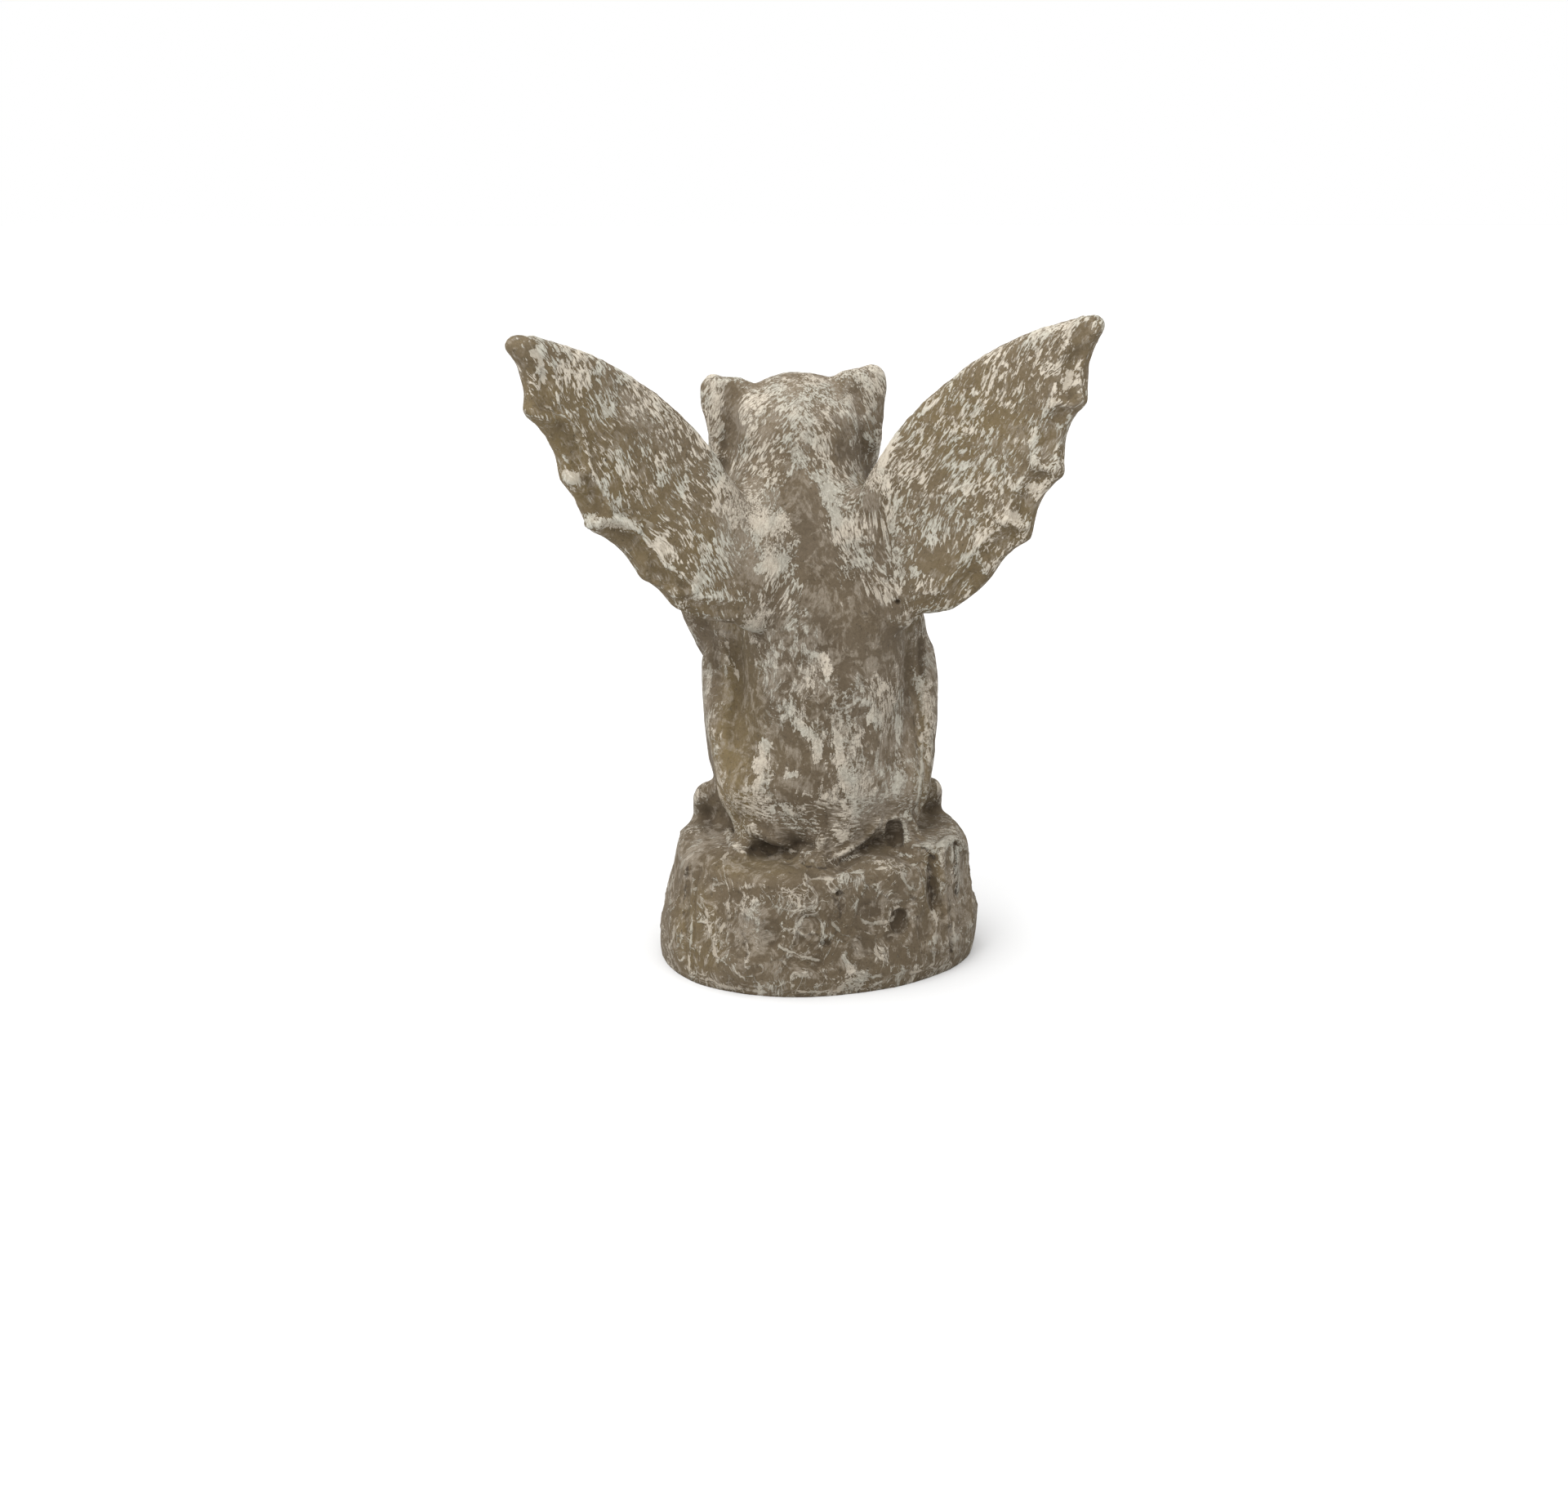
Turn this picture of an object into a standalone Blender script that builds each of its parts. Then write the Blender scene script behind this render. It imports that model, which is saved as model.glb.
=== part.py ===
"""A winged gargoyle that squats on a drum of rough rock, cast in one piece of stone.

Metres, +Z up. The origin is the middle of the underside, and the figure faces -Y.
The figure's own points are in shares of a hundredth of its height, seat to crown.
"""

import math

import bmesh
import bpy
import numpy as np
from mathutils import Euler, Matrix, Vector, noise

# Driving dimensions of the rock
BASE_RADIUS = 0.0972
BASE_HEIGHT = 0.079
BASE_TOP_RADIUS = 0.0875
BASE_FOOT_RADIUS = 0.0945
BASE_FOOT_RISE = 0.012
BASE_RIM_ROUND = 0.012
BASE_SKEW = 0.0022

# Driving dimensions of the figure
FIGURE_HEIGHT = 0.288
FIGURE_SINK = 0.009
FIGURE_LEAN = 0.0167
FIGURE_ASIDE = 0.0012
HEAD_ROLL = math.radians(3.5)
HEAD_ASIDE = -0.0013
WING_ROLL = math.radians(1.7)

# Driving dimensions of a wing
WING_SPAN = 0.1605
WING_HEIGHT = 0.169
WING_THICKNESS = 0.017
WING_EDGE_THICKNESS = 0.0045
WING_BEVEL = 0.0125
WING_SWEEP = math.radians(25)
WING_ROOT_SINK = 0.012

# How finely the clay is cut, and how many faces the solid keeps
CLAY_VOXEL = 0.0022
MOST_TRIANGLES = 9600

UNIT = FIGURE_HEIGHT / 100
SEAT = BASE_HEIGHT - FIGURE_SINK
WING_ROOT_OUT = 8.0 * UNIT
WING_ROOT_BACK = 11.8 * UNIT
WING_ROOT_LOW = 51.2 * UNIT
STONE_COLOUR = (0.30, 0.26, 0.20, 1.0)
STONE_ROUGHNESS = 0.88


def clear_scene():
    for obj in list(bpy.data.objects):
        bpy.data.objects.remove(obj)


def object_of(mesh, name):
    obj = bpy.data.objects.new(name, mesh)
    bpy.context.scene.collection.objects.link(obj)
    return obj


def settled_mesh(obj):
    """The mesh that the object's modifiers make. The object is removed."""
    graph = bpy.context.evaluated_depsgraph_get()
    mesh = bpy.data.meshes.new_from_object(obj.evaluated_get(graph))
    bpy.data.objects.remove(obj)
    return mesh


def fused(mesh, voxel, smoothing):
    """Overlapping closed forms made one skin, with the joints between them softened."""
    obj = object_of(mesh, "clay")
    remesh = obj.modifiers.new("fuse", "REMESH")
    remesh.mode = "VOXEL"
    remesh.voxel_size = voxel
    if smoothing:
        smooth = obj.modifiers.new("soften", "SMOOTH")
        smooth.factor = 0.5
        smooth.iterations = smoothing
    return settled_mesh(obj)


def points_of(mesh):
    points = np.empty(len(mesh.vertices) * 3)
    mesh.vertices.foreach_get("co", points)
    return points.reshape(-1, 3)


def move_points(mesh, points):
    mesh.vertices.foreach_set("co", points.ravel())
    mesh.update()


def smooth_step(value, low, high):
    share = np.clip((value - low) / (high - low), 0, 1)
    return share * share * (3 - 2 * share)


# Clay: balls, and sweeps of balls, in the figure's own units


def unit_ball():
    """A ball of radius one, to be copied."""
    ball = bmesh.new()
    bmesh.ops.create_uvsphere(ball, u_segments=20, v_segments=12, radius=1)
    mesh = bpy.data.meshes.new("ball")
    ball.to_mesh(mesh)
    ball.free()
    return mesh


def ball(clay, centre, radii, turn=(0, 0, 0), pair=False):
    """An ellipsoid, turned by degrees about X, Y and Z. A pair has a mirrored twin at -X."""
    for side in (1, -1) if pair else (1,):
        place = Matrix.Translation((side * centre[0], centre[1], centre[2]))
        angles = [math.radians(a) for a in (turn[0], side * turn[1], side * turn[2])]
        mesh = bpy.data.meshes["ball"].copy()
        mesh.transform(place @ Euler(angles).to_matrix().to_4x4() @ Matrix.Diagonal((*radii, 1)))
        clay.from_mesh(mesh)
        bpy.data.meshes.remove(mesh)


def between(rows, share):
    """A point on the smooth curve through the rows, at a share from 0 to 1."""
    rows = np.asarray(rows, float)
    place = share * (len(rows) - 1)
    i = min(int(place), len(rows) - 2)
    t = place - i
    before, here, there, after = (rows[max(0, min(len(rows) - 1, i + k))] for k in (-1, 0, 1, 2))
    return 0.5 * (
        2 * here
        + (there - before) * t
        + (2 * before - 5 * here + 4 * there - after) * t ** 2
        + (3 * here - before - 3 * there + after) * t ** 3
    )


def sweep(clay, stations, steps, pair=False, turn=(0, 0, 0)):
    """Balls along a curve. A station is x, y, z and a radius, or the three of an ellipsoid."""
    for k in range(steps + 1):
        row = between(stations, k / steps)
        radii = row[3:] if len(row) == 6 else (row[3],) * 3
        ball(clay, row[:3], radii, turn, pair)


def add_trunk(clay):
    """The barrel of the body, from the seat to the neck, and the point of the tail."""
    sweep(clay, [
        (0, 4.5, 8.5, 14.5, 12.5, 6),
        (0, 5.0, 15, 17.2, 15.0, 7),
        (0, 4.0, 27, 17.5, 15.5, 8),
        (0, 3.0, 41, 17.5, 15.0, 8),
        (0, 1.5, 54, 18.0, 14.5, 8),
        (0, -0.5, 66, 17.5, 14.0, 8),
        (0, -2.5, 76, 15.0, 12.5, 7),
        (0, -4.0, 84, 13.5, 11.5, 7),
    ], 30)
    ball(clay, (0, 1, 3), (14, 9, 8))
    sweep(clay, [
        (0, 11.0, 18, 12.0, 8.0, 6),
        (0, 12.0, 10, 10.0, 7.0, 5),
        (-0.4, 13.6, 5.5, 7.0, 4.8, 3.4),
        (-0.8, 15.6, 2.8, 4.0, 3.0, 2.4),
        (-1, 17.4, 1.0, 1.8, 1.8, 1.5),
    ], 14)
    ball(clay, (8.5, 9.6, 7.6), (7.6, 6.9, 5.6))
    ball(clay, (-7.2, 9.6, 7.4), (5.6, 6.8, 5.2))
    ball(clay, (0, -8.5, 56), (14, 8, 13))
    ball(clay, (6.8, -10.5, 60.5), (8.4, 6.5, 9.0), pair=True)
    ball(clay, (0, -9, 30), (12.8, 8.5, 17))
    ball(clay, (0, -8.5, 12), (15.0, 10.0, 14))


def add_haunches(clay):
    """The folded hind legs: a thigh, a raised knee and a shin that drops to the foot."""
    ball(clay, (13.2, 4.2, 14), (7.0, 11, 13), pair=True)
    thigh = [(14.5, 6, 14, 8.5), (17.6, 0, 26, 7.4), (19.6, -4.5, 37.0, 5.9), (19.9, -5, 39.6, 5.2)]
    shin = [(19.9, -5, 38.5, 5.4), (20.0, -4, 28, 5.3), (19.4, -3, 18, 5.0), (17.4, -3.5, 7, 4.0)]
    heel = [(15.6, 6.0, 10, 5.0), (16.2, 9.5, 5, 3.4), (16.9, 12.0, 1.5, 2.2)]
    sweep(clay, thigh, 10, pair=True)
    sweep(clay, shin, 10, pair=True)
    sweep(clay, heel, 7, pair=True)


def add_feet(clay):
    """Broad feet with three toes in front, and an outer toe that arches down to the rock."""
    ball(clay, (18.0, -8.5, 3.5), (5.4, 8.5, 4.6), pair=True)
    for out, reach in ((14.6, -17.6), (18.2, -18.6), (21.8, -17.2)):
        sweep(clay, [
            (out, -10, 5.2, 2.6),
            (out, -14.5, 5.6, 2.3),
            (out, reach, 3.0, 1.8),
            (out, reach - 2.6, 0.4, 0.9),
        ], 7, pair=True)
    sweep(clay, [
        (20.0, -5.0, 6.5, 3.0),
        (23.6, -4.5, 10.2, 2.5),
        (25.4, -6.0, 8.4, 2.2),
        (25.4, -8.5, 4.0, 2.0),
        (24.6, -11.0, 0.3, 1.3),
    ], 9, pair=True)


def add_arms(clay):
    """Forelegs that lean on the knees, with paws on the rock between the feet."""
    for side in (1, -1):
        sweep(clay, [
            (side * 13.0 + 1.0, -3.0, 69, 8.4),
            (side * 18.9 + 3.2, -5.5, 58, 6.9),
            (side * 20.4 + 3.6, -9.5, 49, 5.2),
            (side * 19.6 + 1.3, -13.2, 41, 4.9),
            (side * 16.0, -17.0, 30, 4.8),
            (side * 11.2, -19.5, 18, 3.9),
            (side * 8.8, -20.2, 7, 3.7),
        ], 22)
    ball(clay, (17.5, -5.0, 46), (5.6, 7.0, 7.5), pair=True)
    ball(clay, (12.5, -13.0, 23), (4.2, 5.0, 11), pair=True)
    ball(clay, (8.2, -22.0, 3.6), (4.9, 5.0, 3.7), pair=True)
    for out in (5.2, 8.2, 11.2):
        toe = [(out, -23.0, 4.2, 1.9), (out, -26.0, 3.0, 1.6), (out, -28.0, 0.4, 0.9)]
        sweep(clay, toe, 5, pair=True)


def add_shoulders(clay):
    """The humps from which the wings spring."""
    across = [(6.0, 3.0, 73, 7.5), (11.5, 6.5, 70, 6.6), (16.0, 10.0, 69, 5.4)]
    down = [(9.0, 7.5, 67, 7.0), (13.0, 11.0, 58, 5.2), (15.5, 12.5, 51, 3.4)]
    sweep(clay, across, 7, pair=True)
    sweep(clay, down, 8, pair=True)


def add_skull(clay):
    """The broad skull, the ruff of its cheeks and the heavy muzzle."""
    ball(clay, (0, -5.0, 87.0), (14.0, 13.5, 12.6))
    ball(clay, (8.5, -4.0, 88.5), (7.0, 9.5, 8.6), pair=True)
    ball(clay, (0, -10.0, 92.0), (10.5, 8.5, 6.8))
    sweep(clay, [
        (14.6, -5.5, 88, 4.0),
        (14.0, -8.0, 82.5, 4.5),
        (11.0, -11.5, 77.5, 4.4),
        (6.5, -15.0, 74.5, 3.6),
    ], 10, pair=True)
    ball(clay, (8.6, -13.5, 83.6), (4.8, 4.6, 3.4), turn=(0, 20, 0), pair=True)
    ball(clay, (0, -18.5, 81.6), (7.8, 8.4, 6.0))
    ball(clay, (3.8, -23.0, 80.9), (4.1, 4.2, 3.9), pair=True)
    ball(clay, (0, -17.4, 75.4), (6.2, 7.4, 3.3))
    ball(clay, (0, -20.6, 74.7), (5.0, 5.0, 3.3))


def add_brow(clay):
    """Brow ridges, eyes, nose and ears, which keep a crisper edge than the skull."""
    sweep(clay, [
        (1.8, -20.8, 90.2, 2.2),
        (5.5, -19.4, 92.3, 2.8),
        (9.8, -16.2, 93.4, 2.6),
        (12.6, -12.2, 92.6, 1.8),
    ], 9, pair=True)
    ball(clay, (5.9, -18.2, 87.6), (2.8, 2.8, 2.4), pair=True)
    sweep(clay, [(0, -18.0, 90.4, 2.6), (0, -22.5, 87.2, 2.5), (0, -25.6, 85.6, 2.4)], 6)
    ball(clay, (0, -26.4, 84.9), (3.5, 2.6, 2.3))
    sweep(clay, [(3.6, -23.4, 77.0, 1.3), (3.8, -24.6, 80.4, 0.7)], 4, pair=True)
    sweep(clay, [
        (13.0, -3.6, 86.0, 4.4, 4.2, 4.0),
        (13.6, -3.2, 91.0, 4.7, 3.8, 4.0),
        (13.4, -2.8, 95.2, 5.2, 3.4, 3.2),
        (12.8, -2.8, 97.2, 4.8, 3.0, 2.4),
    ], 10, pair=True)
    sweep(clay, [
        (16.0, -3.6, 84, 2.0),
        (16.7, -3.4, 90, 2.2),
        (17.3, -3.2, 96.4, 2.5),
        (16.4, -3.2, 98.4, 2.3),
    ], 8, pair=True)


def set_head(clay, first):
    """Tips the head's verts, from the first on, about its own middle, and sets them aside."""
    clay.verts.ensure_lookup_table()
    middle = Vector((0, -4, 88))
    roll = Matrix.Rotation(HEAD_ROLL, 3, "Y")
    bmesh.ops.rotate(clay, cent=middle, matrix=roll, verts=clay.verts[first:])
    bmesh.ops.translate(clay, vec=(HEAD_ASIDE / UNIT, 0, 0), verts=clay.verts[first:])


def clay_mesh(*makers, rolled=()):
    """The forms that the makers add, as one mesh in metres on the seat."""
    clay = bmesh.new()
    for make in makers:
        make(clay)
    first = len(clay.verts)
    for make in rolled:
        make(clay)
    if rolled:
        set_head(clay, first)
    bmesh.ops.scale(clay, vec=(UNIT, UNIT, UNIT), verts=clay.verts)
    bmesh.ops.translate(clay, vec=(0, 0, SEAT), verts=clay.verts)
    mesh = bpy.data.meshes.new("clay")
    clay.to_mesh(mesh)
    clay.free()
    return mesh


# Wings: a flat scalloped outline, given thickness and swept back

LEADING_EDGE = ((0.0, 0.32), (0.50, 0.866), (0.93, 1.022))
WING_TIP = ((0.93, 1.022), (0.99, 1.012), (1.004, 0.98))
LEFT_SCALLOPS = (
    ((1.004, 0.98), (0.934, 0.880), (0.942, 0.768)),
    ((0.942, 0.768), (0.835, 0.675), (0.806, 0.543)),
    ((0.806, 0.543), (0.738, 0.450), (0.724, 0.368)),
    ((0.724, 0.368), (0.592, 0.277), (0.560, 0.186)),
    ((0.560, 0.186), (0.482, 0.136), (0.453, 0.076)),
    ((0.453, 0.076), (0.300, 0.012), (0.0, -0.01)),
)
RIGHT_SCALLOPS = (
    ((1.004, 0.98), (0.932, 0.856), (0.936, 0.742)),
    ((0.936, 0.742), (0.847, 0.630), (0.847, 0.498)),
    ((0.847, 0.498), (0.742, 0.405), (0.690, 0.277)),
    ((0.690, 0.277), (0.560, 0.205), (0.500, 0.138)),
    ((0.500, 0.138), (0.400, 0.065), (0.320, 0.014)),
    ((0.320, 0.014), (0.160, -0.006), (0.0, -0.01)),
)
WING_SHOULDER = (0.05, 0.29)
WING_WRIST = (0.43, 0.70)
RIB_REACH = 0.94
ARM_RIB = (0.38, 0.31)
FINGER_RIB = (0.26, 0.15)


def arc_through(start, middle, end, steps):
    """Points on the circle's arc through three points, without the last."""
    (ax, ay), (bx, by), (cx, cy) = start, middle, end
    d = 2 * (ax * (by - cy) + bx * (cy - ay) + cx * (ay - by))
    a2, b2, c2 = ax * ax + ay * ay, bx * bx + by * by, cx * cx + cy * cy
    ux = (a2 * (by - cy) + b2 * (cy - ay) + c2 * (ay - by)) / d
    uy = (a2 * (cx - bx) + b2 * (ax - cx) + c2 * (bx - ax)) / d
    radius = math.hypot(ax - ux, ay - uy)
    first, mid, last = (math.atan2(y - uy, x - ux) for x, y in (start, middle, end))
    turn = (last - first) % math.tau
    if (mid - first) % math.tau > turn:
        turn -= math.tau
    angles = (first + turn * k / steps for k in range(steps))
    return [(ux + radius * math.cos(a), uy + radius * math.sin(a)) for a in angles]


def wing_outline(scallops):
    """The wing's rim in its own plane, in metres out from the root and up from its low corner."""
    rim = arc_through(*LEADING_EDGE, 24) + arc_through(*WING_TIP, 6)
    for scallop in scallops:
        rim += arc_through(*scallop, 8)
    return np.array(rim) * (WING_SPAN, WING_HEIGHT)


def rim_distance(points, rim):
    """Each point's distance to the closed rim, and whether the nearest stretch is the leading edge."""
    nearest = np.full(len(points), np.inf)
    leading = np.zeros(len(points), bool)
    for k, (start, end) in enumerate(zip(rim, np.roll(rim, -1, 0))):
        along = end - start
        share = np.clip(((points - start) @ along) / (along @ along), 0, 1)
        gap = np.linalg.norm(points - start - share[:, None] * along, axis=1)
        closer = gap < nearest
        nearest = np.where(closer, gap, nearest)
        leading = np.where(closer, k < 28, leading)
    return nearest, leading


def wing_plate(rim):
    """The flat wing as a curve's filled and extruded outline, cut into even faces."""
    curve = bpy.data.curves.new("rim", "CURVE")
    curve.dimensions = "2D"
    curve.fill_mode = "BOTH"
    curve.extrude = WING_THICKNESS / 2
    spline = curve.splines.new("POLY")
    spline.points.add(len(rim) - 1)
    for point, (out, up) in zip(spline.points, rim):
        point.co = (out, up, 0, 1)
    spline.use_cyclic_u = True
    mesh = settled_mesh(object_of(curve, "rim"))
    bpy.data.curves.remove(curve)
    plate = bmesh.new()
    plate.from_mesh(mesh)
    bmesh.ops.remove_doubles(plate, verts=plate.verts, dist=1e-5)
    plate.to_mesh(mesh)
    plate.free()
    return fused(mesh, CLAY_VOXEL, 0)


def wing_place(out, up, depth):
    """A point of the wing's plane, out, up and depth towards its back, set in the figure's frame."""
    swept = WING_SWEEP * (0.75 + 0.5 * out / WING_SPAN)
    x = WING_ROOT_OUT + out * np.cos(swept) - depth * np.sin(swept)
    y = WING_ROOT_BACK + out * np.sin(swept) + depth * np.cos(swept)
    return np.stack([x, y, WING_ROOT_LOW + up], -1)


def wing_mesh(scallops):
    """A +X wing: rounded along the leading edge, bevelled along the scallops behind."""
    rim = wing_outline(scallops)
    mesh = wing_plate(rim)
    points = points_of(mesh)
    gap, leading = rim_distance(points[:, :2], rim)
    behind = points[:, 2] > 0
    rounded = np.sqrt(1 - (1 - np.clip(gap / (0.8 * WING_BEVEL), 0, 1)) ** 2)
    bevelled = np.clip(gap / WING_BEVEL, 0, 1)
    edge = WING_EDGE_THICKNESS / WING_THICKNESS
    fullness = np.where(leading, edge + (1 - edge) * rounded, edge + (1 - edge) * bevelled)
    fullness = np.where(behind | leading, fullness, 1.0)
    root = 1 - smooth_step(points[:, 0], 0, 0.3 * WING_SPAN)
    depth = points[:, 2] * fullness * (1 + 0.5 * root) - WING_ROOT_SINK * root
    move_points(mesh, wing_place(points[:, 0], points[:, 1], depth))
    return mesh


def add_rib(clay, start, end, radii):
    """A bone on the wing's front between two points of its outline, in shares of its size.

    The radii at its ends are shares of the wing's thickness.
    """
    steps = 24
    for k in range(steps + 1):
        share = k / steps
        out, up = (start[i] + (end[i] - start[i]) * share for i in (0, 1))
        depth = -WING_THICKNESS * (0.42 - 0.12 * out)
        radius = WING_THICKNESS * (radii[0] + (radii[1] - radii[0]) * share)
        mesh = bpy.data.meshes["ball"].copy()
        centre = wing_place(out * WING_SPAN, up * WING_HEIGHT, depth)
        mesh.transform(Matrix.Translation(centre) @ Matrix.Scale(radius, 4))
        clay.from_mesh(mesh)
        bpy.data.meshes.remove(mesh)


def rib_mesh(scallops):
    """The arm and the fingers on the wing's front, from the wrist to each scallop's point."""
    clay = bmesh.new()
    add_rib(clay, WING_SHOULDER, WING_WRIST, ARM_RIB)
    for start, _, _ in scallops:
        end = [w + (p - w) * RIB_REACH for w, p in zip(WING_WRIST, start)]
        add_rib(clay, WING_WRIST, end, FINGER_RIB)
    mesh = bpy.data.meshes.new("ribs")
    clay.to_mesh(mesh)
    clay.free()
    return mesh


# The rock, roughened by waves: how many go in its radius, and how deep they are in shares of it

ROCK_WAVES = ((3.7, 0.0226), (8.75, 0.0082))


def lobe(angle, degrees, times):
    """A wave round the drum with its first crest at an angle."""
    return math.cos(times * (angle - math.radians(degrees)))


def swell(angle, degrees, width):
    """A bump round the drum, one at its middle and gone beyond twice its width."""
    away = (math.degrees(angle) - degrees + 180) % 360 - 180
    return math.exp(-(away / width) ** 2)


def rock_reach(angle):
    """How far the drum stands out at an angle about Z, as a share of its radius."""
    return 1 + 0.038 * lobe(angle, -44, 1) + 0.042 * lobe(angle, 20, 2) + 0.021 * lobe(angle, 54, 3)


def rock_rise(angle):
    """How high the rim stands at an angle about Z, as a share of the drum's height."""
    slump = 0.12 * swell(angle, 45, 34) + 0.10 * swell(angle, 95, 36)
    notch = 0.12 * swell(angle, 134, 10) * (1 if math.degrees(angle) < 134 else swell(angle, 134, 4))
    return 1.025 - slump - notch - 0.12 * swell(angle, -85, 50)


def rock_mesh():
    """The drum, as a turned profile that is then pushed out of round and roughened."""
    profile = [(0, BASE_HEIGHT)]
    profile.append((0.5 * BASE_TOP_RADIUS, BASE_HEIGHT))
    for k in range(7):
        turn = math.radians(90 - 15 * k)
        profile.append((
            BASE_TOP_RADIUS - BASE_RIM_ROUND * (1 - math.cos(turn)),
            BASE_HEIGHT - BASE_RIM_ROUND * (1 - math.sin(turn)),
        ))
    profile += [
        (0.5 * (BASE_TOP_RADIUS + BASE_RADIUS), 0.5 * BASE_HEIGHT),
        (BASE_RADIUS, 2 * BASE_FOOT_RISE),
        (BASE_RADIUS, BASE_FOOT_RISE),
        (BASE_FOOT_RADIUS, 0),
        (BASE_FOOT_RADIUS, -BASE_FOOT_RISE),
        (0, -BASE_FOOT_RISE),
    ]
    line = bpy.data.meshes.new("profile")
    edges = [(k, k + 1) for k in range(len(profile) - 1)]
    line.from_pydata([(r, 0, z) for r, z in profile], edges, [])
    obj = object_of(line, "profile")
    screw = obj.modifiers.new("turn", "SCREW")
    screw.steps = screw.render_steps = 72
    screw.use_merge_vertices = True
    screw.merge_threshold = 0.00001
    mesh = fused(settled_mesh(obj), CLAY_VOXEL, 0)
    points = points_of(mesh)
    for point in points:
        angle = math.atan2(point[1], point[0])
        outward = min(1.0, math.hypot(point[0], point[1]) / BASE_TOP_RADIUS)
        point[:2] *= rock_reach(angle)
        point[2] *= 1 + (rock_rise(angle) - 1) * outward
        point[0] -= BASE_SKEW * point[2] / BASE_HEIGHT
        place = Vector(point) / BASE_RADIUS
        rough = sum(noise.noise(place * often) * deep for often, deep in ROCK_WAVES)
        point[:2] *= 1 + rough * outward ** 4
        point[2] += rough * BASE_RADIUS if point[2] > 0.8 * BASE_HEIGHT else 0
    move_points(mesh, points)
    return mesh


# The whole statue


def joined(*meshes):
    """Several meshes as one, each a closed skin of its own."""
    whole = bmesh.new()
    for mesh in meshes:
        whole.from_mesh(mesh)
        bpy.data.meshes.remove(mesh)
    result = bpy.data.meshes.new("whole")
    whole.to_mesh(result)
    whole.free()
    return result


def wing_pair():
    """Both wings, tipped together and set on the seat. The right one is made at +X and mirrored."""
    left = joined(wing_mesh(LEFT_SCALLOPS), rib_mesh(LEFT_SCALLOPS))
    right = joined(wing_mesh(RIGHT_SCALLOPS), rib_mesh(RIGHT_SCALLOPS))
    right.transform(Matrix.Scale(-1, 4, (1, 0, 0)))
    right.flip_normals()
    pair = joined(left, right)
    shoulders = Vector((0, 0, WING_ROOT_LOW + 0.4 * WING_HEIGHT))
    pair.transform(Matrix.Translation(-shoulders))
    pair.transform(Matrix.Rotation(WING_ROLL, 4, "Y"))
    pair.transform(Matrix.Translation(shoulders + Vector((0, 0, SEAT))))
    return pair


def leaned(points):
    """Points shifted sideways from the waist to the shoulders, as the figure's sculptor left it."""
    low, high = SEAT + 0.42 * FIGURE_HEIGHT, SEAT + 0.84 * FIGURE_HEIGHT
    aside = FIGURE_LEAN * smooth_step(points[:, 2], low, high) - FIGURE_ASIDE
    return points + np.stack([aside, 0 * aside, 0 * aside], -1)


def figure_mesh():
    masses = clay_mesh(add_trunk, add_haunches, add_arms, add_shoulders, rolled=(add_skull,))
    masses = fused(masses, CLAY_VOXEL, 8)
    details = clay_mesh(add_feet, rolled=(add_brow,))
    figure = joined(masses, details, wing_pair())
    move_points(figure, leaned(points_of(figure)))
    return figure


# Grooves and hollows, each a line with its width and depth. The figure's are in its own units,
# before it leans. The rock's lines are in degrees about Z and shares of its reach and height,
# and their widths and depths are shares of its radius

SPINE = ([(0.4, 13, 84), (0.8, 15, 74), (0.8, 16, 62), (0.2, 17.5, 50), (0, 18, 44)], 4.6, 2.4)
FLANK = ([(18.5, 9, 52), (19.3, 3, 43), (18.4, 5, 34), (20.4, 9.5, 20), (19.3, 10.5, 8)], 1.6, 1.6)
EAR_BACK = ([(12.4, 1.0, 96), (13.2, 1.0, 91), (13.8, 1.0, 85)], 1.7, 1.5)
EAR_FRONT = ([(14.2, -7, 95), (13.8, -8, 90)], 2.4, 2.6)
EYE_SOCKET = ([(4.6, -20.0, 87.8), (7.4, -19.0, 87.8)], 2.3, 1.7)
MOUTH = ([(7.8, -19, 76.8), (5.0, -25, 78.6), (0, -27.5, 79.2)], 1.1, 1.3)
FIGURE_GROOVES = (SPINE, FLANK, EAR_BACK, EAR_FRONT, EYE_SOCKET, MOUTH)

ROCK_CREASE = ([(137.2, 0.814, 0.91), (137.6, 0.91, 0.76), (139.8, 0.953, 0.56)], 0.037, 0.043)
ROCK_HOLLOW = ([(121.3, 0.947, 0.55), (118.9, 0.956, 0.456)], 0.0535, 0.046)
ROCK_SPLIT = ([(20.6, 0.945, 0.76), (26.3, 0.967, 0.456), (32.1, 0.971, 0.177)], 0.035, 0.029)
ROCK_GROOVES = (ROCK_CREASE, ROCK_HOLLOW, ROCK_SPLIT)


def rock_point(degrees, out, up):
    """A point of the drum, at an angle about Z and shares of its reach and height."""
    angle = math.radians(degrees)
    reach = out * BASE_RADIUS * rock_reach(angle)
    return reach * math.cos(angle) - BASE_SKEW * up, reach * math.sin(angle), BASE_HEIGHT * up


def line_distance(points, line):
    """Each point's distance to a line of straight stretches."""
    nearest = np.full(len(points), np.inf)
    for start, end in zip(line, line[1:]):
        along = end - start
        share = np.clip((points - start) @ along / (along @ along), 0, 1)
        gap = np.linalg.norm(points - start - share[:, None] * along, axis=1)
        nearest = np.minimum(nearest, gap)
    return nearest


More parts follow.
